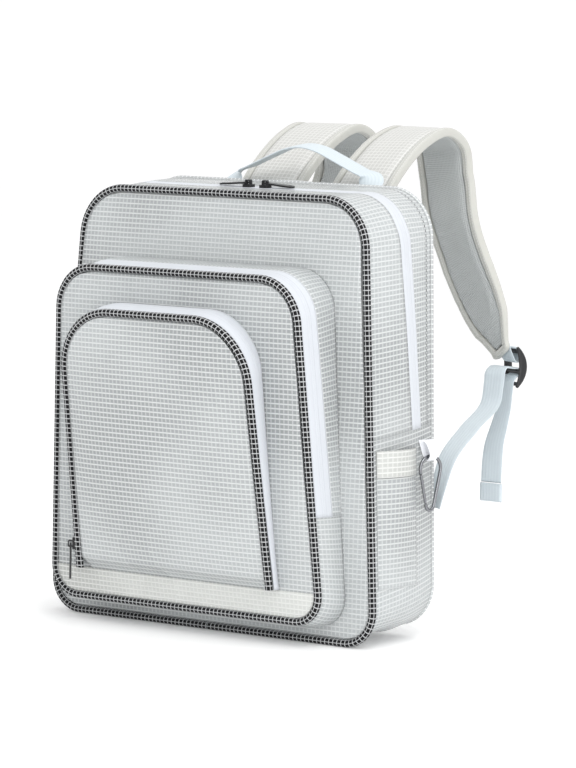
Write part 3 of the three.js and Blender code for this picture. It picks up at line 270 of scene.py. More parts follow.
class Finish:
    """A material whose nodes are added by one method."""

    def __init__(self, name):
        self.material = bpy.data.materials.new(name)
        self.material.use_nodes = True
        self.tree = self.material.node_tree
        self.tree.nodes.clear()

    def node(self, kind, settings=None, inputs=None, output=0):
        """Adds a node of a kind, sets its settings first, then gives its sockets their values or links."""
        made = self.tree.nodes.new(kind)
        for key, value in (settings or {}).items():
            if key == "stops":
                ramp = made.color_ramp.elements
                for stop, (place, colour) in zip([*ramp, *(ramp.new(1) for _ in value[2:])], value):
                    stop.position, stop.color = place, (*colour, 1)
            else:
                setattr(made, key, value)
        for key, value in (inputs or {}).items():
            socket = made.inputs[key]
            if isinstance(value, Value):
                self.tree.links.new(value.socket, socket)
            else:
                socket.default_value = value
        return Value(self, made.outputs[output])

    def lengths(self):
        """The piece's own running lengths, across and along, in mm."""
        spot = self.node("ShaderNodeTexCoord", output="UV")
        split = self.node("ShaderNodeSeparateXYZ", inputs={0: spot})
        parts = [Value(self, split.socket.node.outputs[axis]) * 1000 for axis in ("X", "Y")]
        return parts

    def place(self):
        """The point itself, in metres."""
        return self.node("ShaderNodeTexCoord", output="Object")

    def step(self, value, low, high):
        """0 below low and 1 above high, on an even S between them."""
        settings = {"interpolation_type": "SMOOTHSTEP"}
        return self.node("ShaderNodeMapRange", settings, {"Value": value, "From Min": low, "From Max": high})

    def lines(self, length, pitch, width, shift=0.0, soft=0.25):
        """1 on lines of a width, one each pitch along a length, all in mm."""
        off_line = ((length / pitch + (shift + 0.5)).calc("FRACT") - 0.5).calc("ABSOLUTE") * pitch
        return 1 - self.step(off_line, width / 2 - soft, width / 2 + soft)

    def band(self, length, low, high, soft=0.4):
        """1 where a length lies between low and high, in mm."""
        return self.step(length, low - soft, low + soft) * (1 - self.step(length, high - soft, high + soft))

    def mixed(self, share, low, high):
        """The colour low where share is 0 and high where it is 1."""
        settings = {"data_type": "RGBA"}
        colour = lambda c: c if isinstance(c, Value) else (*c, 1)
        return self.node("ShaderNodeMix", settings, {0: share, 6: colour(low), 7: colour(high)}, 2)

    def noise(self, scale, detail=2.0):
        """A cloudy number about 0.5, with scale clouds to the metre."""
        inputs = {"Vector": self.place(), "Scale": scale, "Detail": detail}
        return self.node("ShaderNodeTexNoise", inputs=inputs)

    def finish(self, height=None, depth=0.2, **sockets):
        """The shader and its output; height is a relief whose full rise is depth mm."""
        inputs = {key.replace("_", " "): value for key, value in sockets.items()}
        if height is not None:
            relief = {"Height": height, "Distance": depth / 1000, "Strength": 1.0}
            inputs["Normal"] = self.node("ShaderNodeBump", inputs=relief)
        shader = self.node("ShaderNodeBsdfPrincipled", inputs=inputs)
        output = self.tree.nodes.new("ShaderNodeOutputMaterial")
        self.tree.links.new(shader.socket, output.inputs["Surface"])
        return self


print("finish helpers ready")

# %% [markdown]
# ## Finishes
# The vinyl is clear, with white threads in a square grid 4.87 mm apart. Light stays on the threads and passes
# through the cells between them, so both colour and see-through follow the same grid.

# %% Clear mesh vinyl
cell = 4.87


def mesh_vinyl(name, cell_colour, thread_colour, cell_hold, thread_hold, thread=1.25, sewn=None):
    """Vinyl with threads each cell; hold is how much light the sheet keeps, sewn where a dark seam runs."""
    made = Finish(name)
    across, along = made.lengths()
    warp, weft = made.lines(across, cell, thread, soft=0.6) * 0.55, made.lines(along, cell, thread, soft=0.6)
    threads = warp.calc("MAXIMUM", weft)
    cloud = made.noise(9)
    # The cells are painted darker in soft clouds: painted shade for the light and dark zones of a slack,
    # glossy sheet.
    cloud_shade_colour = tuple(0.72 * part for part in cell_colour)
    cells = made.mixed(made.step(made.noise(6, 1), 0.35, 0.6), cloud_shade_colour, cell_colour)
    tone = made.mixed(threads, cells, thread_colour)
    if sewn is not None:
        stitches = made.band(across, sewn - 0.9, sewn + 0.9, 0.3) * made.lines(along, cell, 3, soft=0.4)
        tone = made.mixed(stitches, tone, (0.05, 0.05, 0.055))
    knots = warp * weft
    return made.finish(
        height=threads * 0.75 + knots * 0.35,
        depth=0.5,
        Base_Color=tone,
        Alpha=threads * (thread_hold - cell_hold) + cell_hold,
        Roughness=0.2 + 0.16 * cloud,
        IOR=1.48,
        Coat_Weight=0.35,
        Coat_Roughness=0.12,
    )


clear_vinyl = mesh_vinyl("clear_vinyl", (0.60, 0.63, 0.64), (0.72, 0.74, 0.74), 0.58, 0.88)
sewn_vinyl = mesh_vinyl("sewn_vinyl", (0.60, 0.63, 0.64), (0.72, 0.74, 0.74), 0.58, 0.88, sewn=190)
cream_vinyl = mesh_vinyl("cream_vinyl", (0.67, 0.685, 0.66), (0.74, 0.75, 0.73), 0.84, 0.97)
seam_vinyl = mesh_vinyl("seam_vinyl", (0.58, 0.61, 0.62), (0.80, 0.82, 0.82), 0.7, 0.95)
print("four vinyls")

# %% Black cord under a strip of the same mesh
def cord_finish():
    """Black cells 4 mm wide, between a white thread each cell along the cord and six lengthwise round it."""
    made = Finish("black_cord")
    around, along = made.lengths()
    rungs = made.lines(along, cell, 0.85, soft=0.25)
    rails = made.lines(around, 3.98, 0.6, shift=0.5, soft=0.25)
    threads = rungs.calc("MAXIMUM", rails)
    tone = made.mixed(threads, (0.004, 0.004, 0.005), (0.56, 0.57, 0.58))
    gloss = {"Roughness": 0.5 + 0.2 * threads, "Specular_IOR_Level": 0.15}
    return made.finish(height=threads, depth=0.3, Base_Color=tone, **gloss)


black_cord = cord_finish()
print("cord finish")


# %% White zip tape, webbing, pads and bindings
def tape_finish(name, width):
    """Knitted tape with fine cross ribs, a nylon coil along its middle and a seam line near each edge."""
    made = Finish(name)
    across, along = made.lengths()
    coil = made.band(across, width / 2 - 2.6, width / 2 + 2.6)
    teeth = made.lines(along, 1.7, 1.0, soft=0.25) * coil
    knit = made.lines(along, 1.1, 0.5, soft=0.2) * 0.35
    groove = lambda way: made.lines(across, width, 0.9, shift=0.5 + way * 2.9 / width)
    grooves = groove(1) + groove(-1)
    split = made.band(across, width / 2 - 0.35, width / 2 + 0.35, 0.2)
    # The grooves and the split are painted darker: painted shade in these recesses.
    tone = made.mixed(grooves * 0.7 + split * 0.4, (0.59, 0.615, 0.655), (0.53, 0.555, 0.60))
    height = coil * 1.2 + teeth * 0.4 + knit * 0.5 - grooves * 0.5 - split * 0.6
    return made.finish(height=height, depth=0.13, Base_Color=tone, Roughness=0.75, Sheen_Weight=0.15)


def webbing_finish(name, colour, shade):
    """Woven band: seven round ribs lengthwise and a fine slanting weave over them."""
    made = Finish(name)
    across, along = made.lengths()
    rib = (across * (2 * math.pi / 3.6)).calc("COSINE") * 0.5 + 0.5
    weave = made.lines(along + across * 0.6, 1.5, 0.7, soft=0.3)
    # The troughs between the round ribs take the darker colour: painted shade, with the crests painted
    # lighter.
    tone = made.mixed(rib * 0.7 + weave * 0.3, shade, colour)
    return made.finish(height=rib + weave * 0.3, depth=0.2, Base_Color=tone, Roughness=0.82, Sheen_Weight=0.2)


def pad_finish():
    """White padded mesh with the vinyl's grid above, spacer mesh below whose grey is partly painted shade; V
    past 10 m is below.
    """
    made = Finish("strap_pad")
    across, along = made.lengths()
    below = made.step(along, 9000, 9001)
    grid = made.lines(across, cell, 1.0, soft=0.3).calc("MAXIMUM", made.lines(along, cell, 1.0, soft=0.3))
    holes = made.lines(across, 2.1, 1.0, soft=0.3) * made.lines(along, 2.1, 1.0, soft=0.3)
    above_tone = made.mixed(grid, (0.53, 0.53, 0.51), (0.67, 0.67, 0.65))
    # The underside's darker grey is partly painted shade, and its holes are painted darker as shade in them.
    below_tone = made.mixed(holes, (0.50, 0.52, 0.52), (0.37, 0.39, 0.39))
    tone = made.mixed(below, above_tone, below_tone)
    height = grid * (1 - below) * 0.6 - holes * below
    return made.finish(height=height, depth=0.35, Base_Color=tone, Roughness=0.45 + 0.4 * below)


def binding_finish():
    """Cream grosgrain with fine cross ribs and two rows of stitches."""
    made = Finish("cream_binding")
    across, along = made.lengths()
    ribs = made.lines(along, 0.9, 0.5, soft=0.2)
    stitches = made.lines(across, 3.6, 0.8, shift=0.28, soft=0.2) * made.lines(along, 3.2, 2.3, soft=0.3)
    tone = made.mixed(stitches, (0.53, 0.53, 0.495), (0.70, 0.70, 0.68))
    height = ribs * 0.3 + stitches
    return made.finish(height=height, depth=0.3, Base_Color=tone, Roughness=0.8, Sheen_Weight=0.15)


main_tape = tape_finish("main_tape", 16)
middle_tape = tape_finish("middle_tape", 23)
pale_webbing = webbing_finish("pale_webbing", (0.60, 0.665, 0.70), (0.55, 0.615, 0.655))
strap_pad = pad_finish()
cream_binding = binding_finish()
print("tape, webbing, pad and binding")


# %% Black enamel, black nylon and chrome
def hard_finish(name, colour, shine, wear, metal=0.0):
    """A moulded or cast surface: an even colour with a faint cloud of wear in its gloss."""
    made = Finish(name)
    cloud = made.noise(60, 4)
    grain = made.noise(900, 2)
    worn_colour = tuple(min(1, c * 1.6 + 0.02) for c in colour)
    tone = made.mixed(made.step(cloud, 0.5, 0.75) * wear, colour, worn_colour)
    gloss = shine + 0.15 * cloud
    return made.finish(height=grain, depth=0.05, Base_Color=tone, Roughness=gloss, Metallic=metal)


black_enamel = hard_finish("black_enamel", (0.018, 0.018, 0.02), 0.22, 0.5, 0.3)
black_nylon = hard_finish("black_nylon", (0.012, 0.012, 0.014), 0.36, 0.4)
chrome = hard_finish("chrome", (0.23, 0.235, 0.25), 0.08, 0.2, 1.0)
made = Finish("pale_floor")
pale = made.mixed(made.noise(2), (0.93, 0.93, 0.93), (0.96, 0.96, 0.96))
glow = {"Emission_Color": (1, 1, 1, 1), "Emission_Strength": 0.12}
floor_finish = made.finish(Base_Color=pale, Roughness=0.9, **glow)
floor.data.materials.append(floor_finish.material)
print("hard finishes and the floor")

# %% [markdown]
# ## The bag's loops
# Each pocket is a rounded loop in front, a rounded loop behind, and strips between them. A place on a loop is
# a segment (bottom, corner, side, corner, top) and a share of it, so that places on both loops pair up by
# themselves.

# %% Sizes in millimetres
sheet_wall, webbing_wall, clearance = 1.2, 1.6, 0.3
cord_radius, webbing_width = 3.8, 25
rim = cord_radius + clearance
names = ("bottom_width", "top_width", "bottom", "top", "bottom_radius", "top_radius")
body_front = dict(zip(names, (404, 348, 3.8, 433.8, 32, 50)))
body_back = dict(zip(names, (397, 359, 11.8, 441.8, 42, 50)))
middle_front = dict(zip(names, (334, 292, 26, 358, 28, 44)))
middle_base = dict(zip(names, (342, 288, 20, 366, 28, 44)))
small_foot = 26 + rim + 24 + 2
small_front = dict(zip(names, (238, 226, small_foot, 318, 1, 62)))
small_base = dict(zip(names, (252, 222, small_foot, 325, 1, 62)))


def body_front_y(z):
    return -52 + 12 * (z - 3.8) / 430


def body_back_y(z):
    return 52 + 10 * (z - 11.8) / 430


def crown(shape, x, z):
    """Full over a panel's middle and nothing at its rim: one minus the fourth power of each share."""
    u = np.minimum(1, np.abs(x) / (shape["bottom_width"] / 2))
    v = np.minimum(1, np.abs(2 * (z - shape["bottom"]) / (shape["top"] - shape["bottom"]) - 1))
    return (1 - u**4) * (1 - v**4)


def slack(x, z, size=1.0):
    """Long low waves of a sheet that is not quite taut: three sines that cross at odd angles."""
    steep, slant, level = x / 31 + z / 63 + 0.6, x / 53 - z / 37 + 2.1, z / 24 + x / 170
    return size * (np.sin(steep) * 0.5 + np.sin(slant) * 0.6 + np.sin(level) * 0.35)


def main_panel_y(x, z):
    return body_front_y(z) - 9 * crown(body_front, x, z)


def middle_front_y(z):
    return body_front_y(z) - (40 + 32 * (z - 26) / 332)


def middle_panel_y(x, z):
    return middle_front_y(z) - 8 * crown(middle_front, x, z)


def small_front_y(z):
    return middle_front_y(z) - (14 + 24 * (z - small_foot) / (318 - small_foot)) - 4


def small_panel_y(x, z):
    return small_front_y(z) - 9 * crown(small_front, x, z)


# %% A rounded loop
counts = (20, 14, 60, 18, 22)


def half_loop(shape):
    """Right half of a rounded trapezoid, from its bottom's middle to its top's: place and outward way."""
    half_low, half_high = shape["bottom_width"] / 2, shape["top_width"] / 2
    lean = math.atan2(shape["top"] - shape["bottom"], half_high - half_low)
    side = lean - math.pi / 2
    low_r, high_r = shape["bottom_radius"], shape["top_radius"]
    low = np.array([half_low - low_r / math.tan((math.pi - lean) / 2), shape["bottom"] + low_r])
    high = np.array([half_high - high_r / math.tan(lean / 2), shape["top"] - high_r])
    turn = lambda centre, radius, a: centre + radius * np.stack([np.cos(a), np.sin(a)], 1)
    share = [np.linspace(0, 1, n, endpoint=False)[:, None] for n in counts]
    low_turn = -math.pi / 2 + (side + math.pi / 2) * share[1][:, 0]
    high_turn = side + (math.pi / 2 - side) * share[3][:, 0]
    start, end = turn(low, low_r, np.array([side]))[0], turn(high, high_r, np.array([side]))[0]
    places = np.vstack([
        np.hstack([low[0] * share[0], np.full_like(share[0], shape["bottom"])]),
        turn(low, low_r, low_turn),
        start + (end - start) * share[2],
        turn(high, high_r, high_turn),
        np.hstack([high[0] * (1 - share[4]), np.full_like(share[4], shape["top"])]),
        [[0, shape["top"]]],
    ])
    foot, flank = np.full(counts[0], -math.pi / 2), np.full(counts[2], side)
    head = np.full(counts[4] + 1, math.pi / 2)
    facing = np.concatenate([foot, low_turn, flank, high_turn, head])
    return np.column_stack([places, np.cos(facing), np.sin(facing)])


def whole_loop(half):
    """The right half up, then its mirror image down, without the two middles twice."""
    back = half[-2:0:-1] * [-1, 1, -1, 1]
    return np.vstack([half, back])


def half_width(half, z):
    """The half width of a loop at a height."""
    run = half[counts[0] : len(half) - counts[4]]
    return np.interp(z, run[:, 1], run[:, 0])


def side_place(shape, z):
    """The index on a half loop's side at a height."""
    low, high = shape["bottom"] + shape["bottom_radius"], shape["top"] - shape["top_radius"]
    return counts[0] + counts[1] + int(round(counts[2] * (z - low) / (high - low)))


zip_end = side_place(body_front, 197)
middle_zip_end = side_place(middle_front, 126)
front_loop, back_loop = whole_loop(half_loop(body_front)), whole_loop(half_loop(body_back))
print("loop of", len(front_loop), "places; zip ends at", zip_end)


# %% A strip between two loops
def strip(front, back, front_y, back_y, start, stop, puff, columns=10):
    """Between paired places of two loops, from one share of the depth to another, pushed out by puff mm."""
    near = np.column_stack([front[:, 0], front_y(front[:, 0], front[:, 1]), front[:, 1]])
    far = np.column_stack([back[:, 0], back_y(back[:, 0], back[:, 1]), back[:, 1]])
    out = np.column_stack([front[:, 2] + back[:, 2], np.zeros(len(front)), front[:, 3] + back[:, 3]])
    out /= np.linalg.norm(out, axis=1)[:, None]
    depth = np.linalg.norm(far - near, axis=1)
    first, last = start(depth)[:, None], stop(depth)[:, None]
    share = first + (last - first) * np.linspace(0, 1, columns + 1)[None, :]
    grid = near[:, None] + (far - near)[:, None] * share[..., None]
    grid = grid + out[:, None] * puff(front, share)[..., None]
    across = (share - first) * depth[:, None]
    along = np.broadcast_to(run_lengths(grid[:, columns // 2])[:, None], across.shape)
    return grid, across, along


def closed_run(loop):
    """A loop whose first place is added once more at its end."""
    return np.vstack([loop, loop[:1]])


def cord_round(loop, depth_y, radius, shift=0.0, sides=16, start=0.0):
    """A round cord along a loop: each place plus radius times the cosine outwards and the sine in depth."""
    turn = start + np.linspace(0, 2 * np.pi, sides + 1)
    out, deep = radius * np.cos(turn)[None, :], radius * np.sin(turn)[None, :]
    x = loop[:, :1] + loop[:, 2:3] * out + shift
    z = loop[:, 1:2] + loop[:, 3:4] * out
    y = depth_y(loop[:, :1], loop[:, 1:2]) + deep
    grid = np.stack([x, y, z], -1)
    middle = np.column_stack([loop[:, 0], depth_y(loop[:, 0], loop[:, 1]), loop[:, 1]])
    along = np.broadcast_to(run_lengths(middle)[:, None], x.shape)
    return grid, np.broadcast_to((turn * radius)[None, :], x.shape), along


def body_puff(front, share):
    """The base hangs to the floor over its flat patch; the sides bulge between cord and seam."""
    down = np.maximum(0, -front[:, 3:4]) ** 2
    patch = np.minimum(1, np.minimum(share / 0.1, (1 - share) / 0.16))
    floor_reach = (3.8 + 8 * share - sheet_wall / 2) * patch
    tucked = -5 * np.sin(np.pi * np.minimum(1, share * 1.5 + 0.1)) * np.where(share > 0.55, 0.4, 1)
    to_corner = smooth_step(np.abs(front[:, :1]), 112, 168)
    low = floor_reach * (1 - to_corner) + tucked * to_corner
    return down * low + (1 - down) * np.abs(front[:, 2:3]) * 6 * np.sin(np.pi * share)


print("strip and cord ready")

# %% [markdown]
# ## Main body
# The cord is sewn round the front panel; the zip tape runs over the top and down both sides between two clear
# strips.

# %% Main front panel, cord and seam
def panel(name, shape, depth_y, low, high, shift=0.0, waves=1.0, columns=90, rows=110):
    """A sheet inside a loop: rows at even heights, each as wide as the loop there, with a straight weave."""
    half = half_loop(shape)
    z = np.linspace(low, high, rows)[:, None]
    x = np.linspace(-1, 1, columns + 1)[None, :] * half_width(half, z)
    z = np.broadcast_to(z, x.shape)
    edge = np.minimum(1, crown(shape, x, z) * 2.2)
    y = depth_y(x, z) - slack(x, z, waves) * edge
    return surface(name, np.stack([x + shift, y, z], -1), x + 500, z)


def inset(shape, by):
    """A loop that lies by mm inside another."""
    moves = dict(zip(names, (-2 * by, -2 * by, by, -by, -by, -by)))
    return {key: shape[key] + moves[key] for key in names}


main_inside = inset(body_front, rim)
main_panel = panel("front_sheet", main_inside, main_panel_y, main_inside["bottom"], main_inside["top"])
dress(walled(main_panel, sheet_wall), clear_vinyl, "clear_mesh", "main_front_panel")
front_y, back_y = (lambda x, z: body_front_y(z)), (lambda x, z: body_back_y(z))
front_round = cord_round(closed_run(front_loop), front_y, cord_radius)
cord = joined_up(surface("front_cord", *front_round, loop_columns=False))
dress(cord, black_cord, "black_cord", "main_piping")
seam = joined_up(surface("back_seam_edge", *cord_round(closed_run(back_loop), back_y, 1.9, sides=8)))
dress(seam, seam_vinyl, "clear_mesh", "back_seam")

# %% Main zip tape and clear strips
top_place = len(half_loop(body_front)) - 1
zip_share = np.abs(np.arange(len(front_loop)) - top_place) / (top_place - zip_end)
upper = slice(zip_end, len(front_loop) - zip_end + 1)
tape_middle = np.interp(zip_share[upper], (0, 0.5, 0.75, 1), (0.5, 0.5, 0.6, 0.68))
upper_pair = front_loop[upper], back_loop[upper], front_y, back_y
rear_edge = lambda depth: 1 - 2.3 / depth
main_tape_half, middle_tape_width, seam_gap = 8, 23, 0.3
before_tape = lambda d: tape_middle - (main_tape_half + seam_gap) / d
after_tape = lambda d: tape_middle + (main_tape_half + seam_gap) / d
tape_front = lambda d: tape_middle - main_tape_half / d
tape_rear = lambda d: tape_middle + main_tape_half / d
pieces = {
    "front_strip": (lambda d: rim / d, before_tape, clear_vinyl, "clear_mesh", "main_gusset_front"),
    "front_tape": (tape_front, tape_rear, main_tape, "white_tape", "main_zip_tape"),
    "rear_strip": (after_tape, rear_edge, sewn_vinyl, "clear_mesh", "main_gusset_rear"),
}
for name, (start, stop, finish, slot, node) in pieces.items():
    grid, across, along = strip(*upper_pair, start, stop, body_puff)
    across = across - across[:, -1:] + 200 if name == "rear_strip" else across
    dress(walled(surface(name, grid, across, along), sheet_wall), finish, slot, node)
below = np.r_[len(front_loop) - zip_end : len(front_loop), 0 : zip_end + 1]
lower_pair = front_loop[below], back_loop[below], front_y, back_y
lower = strip(*lower_pair, lambda d: rim / d, rear_edge, body_puff, 40)
dress(walled(surface("base_strip", *lower), sheet_wall), clear_vinyl, "clear_mesh", "main_gusset_lower")


# %% The plain back, pressed outwards
back_rise = np.array([0, 0.06, 0.18, 0.5, 0.8, 0.93, 0.975, 0.988, 0.997])
back_out = np.array([0, 0.45, 0.8, 1, 1, 0.9, 0.7, 0.35, 0])
back_lift = np.array([0, 0, 0, 0, 0, 0.4, 1, 1.5, 0])


def back_sheet():
    """Rows of the profile's rise, out and lift; out fades with the fourth power of the share across."""
    shape = inset(body_back, 2.3)
    rise = np.interp(np.linspace(0, 8, 90), range(9), back_rise)
    out = np.interp(rise, back_rise, back_out)
    lift = np.interp(rise, back_rise, back_lift)
    z = (shape["bottom"] + (shape["top"] - shape["bottom"]) * rise)[:, None]
    u = np.linspace(-1, 1, 81)[None, :]
    x = u * half_width(half_loop(shape), z)
    y = body_back_y(z) + 27 * out[:, None] * (1 - u**4) + slack(x, z, 0.6) * out[:, None] * (1 - u**4)
    return np.stack([x, y, z + 6 * lift[:, None] * (1 - u**2) ** 2], -1)


grid = back_sheet()
plain_back = surface("back_sheet", grid, grid[..., 0] + 500, grid[..., 2] + 0.0)
dress(walled(plain_back, sheet_wall), clear_vinyl, "clear_mesh", "back_panel")

# %% [markdown]
# ## Middle pocket
# It has its own cord all round, a tape right behind the cord, and a cream folded band along its foot.

# %% Middle pocket pieces
middle_loop, middle_foot = whole_loop(half_loop(middle_front)), whole_loop(half_loop(middle_base))
middle_y = lambda x, z: middle_front_y(z)
on_main = lambda x, z: main_panel_y(x, z) - sheet_wall / 2 - clearance
cord = joined_up(surface("middle_cord", *cord_round(closed_run(middle_loop), middle_y, cord_radius)))
dress(cord, black_cord, "black_cord", "middle_piping")
middle_inside = inset(middle_front, rim)
band_top = middle_inside["bottom"] + 24
middle_reach = band_top + clearance, middle_inside["top"]
sheet = panel("middle_sheet", middle_inside, middle_panel_y, *middle_reach, rows=90, waves=0.8)
dress(walled(sheet, sheet_wall), clear_vinyl, "clear_mesh", "middle_front_panel")
band_y = lambda x, z: middle_panel_y(x, z) - 0.5
sheet = panel("middle_band", middle_inside, band_y, middle_inside["bottom"], band_top + 2, rows=16, waves=0.5)
dress(walled(sheet, sheet_wall * 1.3), cream_vinyl, "cream_mesh", "middle_lower_band")
pocket_puff = lambda front, share: 3 * np.sin(np.pi * share)
upper = slice(middle_zip_end, len(middle_loop) - middle_zip_end + 1)
below = np.r_[len(middle_loop) - middle_zip_end : len(middle_loop), 0 : middle_zip_end + 1]
upper_pair = middle_loop[upper], middle_foot[upper], middle_y, on_main
lower_pair = middle_loop[below], middle_foot[below], middle_y, on_main
one = lambda d: np.ones_like(d)
cord_edge, tape_edge = (lambda d: rim / d), (lambda d: (rim + middle_tape_width) / d)
middle_strip_edge = lambda d: (rim + middle_tape_width + seam_gap) / d
pieces = {
    "middle_tape_strip": (upper_pair, cord_edge, tape_edge, middle_tape, "white_tape", "middle_zip_tape"),
    "middle_strip": (upper_pair, middle_strip_edge, one, clear_vinyl, "clear_mesh", "middle_gusset_rear"),
    "middle_base_strip": (lower_pair, cord_edge, one, clear_vinyl, "clear_mesh", "middle_gusset_lower"),
}
for name, (pair, start, stop, finish, slot, node) in pieces.items():
    dress(walled(surface(name, *strip(*pair, start, stop, pocket_puff)), sheet_wall), finish, slot, node)

# %% [markdown]
# ## Small pocket
# An arch: its cord stops, cut off, at the band's seam, and its tape lies between the cord and the middle
# panel.

# %% Small pocket pieces
arch = slice(counts[0] + counts[1], 2 * (sum(counts) + 1) - counts[0] - counts[1] - 1)
small_loop, small_back = whole_loop(half_loop(small_front))[arch], whole_loop(half_loop(small_base))[arch]
small_y = lambda x, z: small_front_y(z)
grid, across, along = cord_round(small_loop, small_y, cord_radius, shift=1.0)
cut = lambda row: np.broadcast_to(row[:-1].mean(0), row.shape)
grid = np.concatenate([cut(grid[0])[None], grid, cut(grid[-1])[None]])
across, along = (np.concatenate([a[:1], a, a[-1:]]) for a in (across, along))
dress(joined_up(surface("small_cord", grid, across, along)), black_cord, "black_cord", "small_piping")
small_inside = {**inset(small_front, rim), "bottom": small_foot, "bottom_radius": 1}


def small_sheet_y(x, z):
    """The panel, drawn in over its last 14 mm to the seam above the band."""
    foot = 1 - smooth_step(z, small_foot, small_foot + 14)
    seam_y = middle_panel_y(x + 1, z) - sheet_wall - clearance * 2
    return small_panel_y(x, z) * (1 - foot) + seam_y * foot


small_reach = small_foot, small_inside["top"]
sheet = panel("small_sheet", small_inside, small_sheet_y, *small_reach, shift=1.0, waves=0.9, rows=90)
dress(walled(sheet, sheet_wall), clear_vinyl, "clear_mesh", "small_front_panel")
moved = lambda loop, by: loop + np.array([by, 0, 0, 0])
on_middle = lambda x, z: middle_panel_y(x, z) - sheet_wall / 2 - clearance * 2
small_pair = moved(small_loop, 1), moved(small_back, -5), small_y, on_middle
tape = strip(*small_pair, lambda d: np.minimum(0.6, rim / d), one, pocket_puff)
small_tape = tape_finish("small_tape", 26)
dress(walled(surface("small_tape_strip", *tape), sheet_wall), small_tape, "white_tape", "small_zip_tape")


# %% [markdown]
# ## Side pockets
# A flat pocket on each side stands a little open at its mouth, which has a folded cream hem.

# %% Side pockets and hems
def side_sheet(low, high, wall, rows):
    """A strip over the side between two heights, pushed out most at its mouth and at mid depth."""
    z = np.linspace(low, high, rows)
    front, back = half_loop(body_front), half_loop(body_back)
    facing = lambda half: np.broadcast_to(half[counts[0] + counts[1] + 1, 2:], (rows, 2))
    pair = [np.column_stack([half_width(half, z), z, facing(half)]) for half in (front, back)]

    def puff(run, share):
        opened = np.maximum(0, (run[:, 1:2] - 58) / (192 - 58))
        gape = 9 * opened * np.sin(np.pi * (share - 0.07) / 0.57)
        return body_puff(run, share) + clearance * 1.5 + wall / 2 + gape

    return strip(*pair, front_y, back_y, lambda d: 0.07 + 0 * d, lambda d: 0.64 + 0 * d, puff, 24)


hem_wall = sheet_wall * 1.6
pocket = walled(surface("side_pocket_sheet_right", *side_sheet(58, 165.7, sheet_wall, 40)), sheet_wall)
right_and_left(pocket, clear_vinyl, "clear_mesh", "side_pocket")
hem = walled(surface("side_hem_fold_right", *side_sheet(166, 192, hem_wall, 14)), hem_wall)
right_and_left(hem, cream_vinyl, "cream_mesh", "side_hem")

# %% [markdown]
# ## Straps
# Every band is a middle line with a width that turns along it. The line is a smooth curve through a few
# points, and the band's section is carried along it as a whole array.

# %% A smooth middle line
def smooth_curve(points, share):
    """Centripetal Catmull-Rom: each span is a cubic whose end slopes come from the points on both sides."""
    p = np.asarray(points, float)
    p = np.vstack([2 * p[0] - p[1], p, 2 * p[-1] - p[-2]])
    s = np.asarray(share) * (len(p) - 3)
    i = np.clip(np.floor(s).astype(int), 0, len(p) - 4)
    w = (s - i)[:, None]
    a, b, c, d = p[i], p[i + 1], p[i + 2], p[i + 3]
    root = lambda q, r: np.sqrt(np.linalg.norm(r - q, axis=1))[:, None]
    e, f, g = root(a, b), root(b, c), root(c, d)
    t1 = ((b - a) / e - (c - a) / (e + f) + (c - b) / f) * f
    t2 = ((c - b) / f - (d - b) / (f + g) + (d - c) / g) * f
    c2, c3 = -3 * b + 3 * c - 2 * t1 - t2, 2 * b - 2 * c + t1 + t2
    return b + t1 * w + c2 * w**2 + c3 * w**3, t1 + 2 * c2 * w + 3 * c3 * w**2


def band_frames(points, way, steps):
    """Middle, way along, way across and facing of a band at even shares of its curve."""
    share = np.linspace(0, 1, steps + 1)
    middle, tangent = smooth_curve(points, share)
    tangent /= np.linalg.norm(tangent, axis=1)[:, None]
    side = way(share)
    side = side - tangent * (side * tangent).sum(1)[:, None]
    side /= np.linalg.norm(side, axis=1)[:, None]
    out = np.cross(tangent, side)
    return {"share": share, "middle": middle, "tangent": tangent, "side": side, "out": out}


def both_faces(frames, across, thick):
    """A closed section along a band's frames: out over its width on one side and back on the other."""
    sheet = frames["middle"][:, None] + frames["side"][:, None] * across[..., None]
    face = lambda way: sheet + frames["out"][:, None] * (way * thick)[..., None]
    return np.concatenate([face(1), face(-1)[:, ::-1]], 1)


def capped(grid):
    """One more row at each end, drawn in to the section's middle."""
    cap = lambda row: np.broadcast_to(row.mean(0), row.shape)
    return np.concatenate([cap(grid[0])[None], grid, cap(grid[-1])[None]])


def band(name, frames, width, wall, columns=14):
    """A flat band: half its wall to each side, thinning to nothing in the last share of its width."""
    width = np.broadcast_to(width, len(frames["share"]))[:, None]
    u = np.linspace(-1, 1, columns + 1)
    u = np.sign(u) * (1 - (1 - np.abs(u)) ** 1.6)
    half_wall = np.broadcast_to(wall, len(frames["share"]))[:, None] / 2 * (1 - u**10) ** 0.5
    half_wall[[0, -1]] = 0
    across = u * width / 2
    grid = both_faces(frames, across, half_wall)
    lengths = np.broadcast_to(run_lengths(frames["middle"])[:, None], grid.shape[:2])
    round_across = np.concatenate([across, across[:, ::-1]], 1) + width / 2
    return joined_up(surface(name, grid, round_across, lengths, loop_columns=True))


def flat_way(degrees):
    """Level, turned from +X towards -Y."""
    turn = np.radians(degrees)
    return np.stack([np.cos(turn), -np.sin(turn), np.zeros_like(turn)], -1)


print("band helpers ready")

# %% [markdown]
# ## Haul handle
# One webbing that leaves the back flat under the seam, turns on edge and arches over.

# %% Handle
back_top = 441.8
handle_across = (176 - webbing_width) / 2 / half_width(half_loop(body_back), back_top - 14)


def back_face_y(z, across):
    """The plain back's face at a height and a share across, from the same profile."""
    z_rows = 14.1 + 425.4 * back_rise[:7]
    lifted = z_rows + 6 * back_lift[:7] * (1 - across**2) ** 2
    return np.interp(z, lifted, body_back_y(z_rows) + 27 * back_out[:7] * (1 - across**4))


handle_y = back_face_y(back_top - 14, handle_across) + 0.6 + clearance + 1.68
half_rows = [
    (1, 0, 0), (0.99, 0.2, 0.35), (0.93, 0.44, 1), (0.78, 0.545, 1),
    (0.45, 0.786, 1), (0.22, 0.94, 1), (0, 1, 1),
]
handle_rows = [(-a, r, o) for a, r, o in half_rows[:-1]] + half_rows[::-1]
points = [(88 * a, handle_y + 11 * o, back_top - 14 + 50.5 * r) for a, r, o in handle_rows]


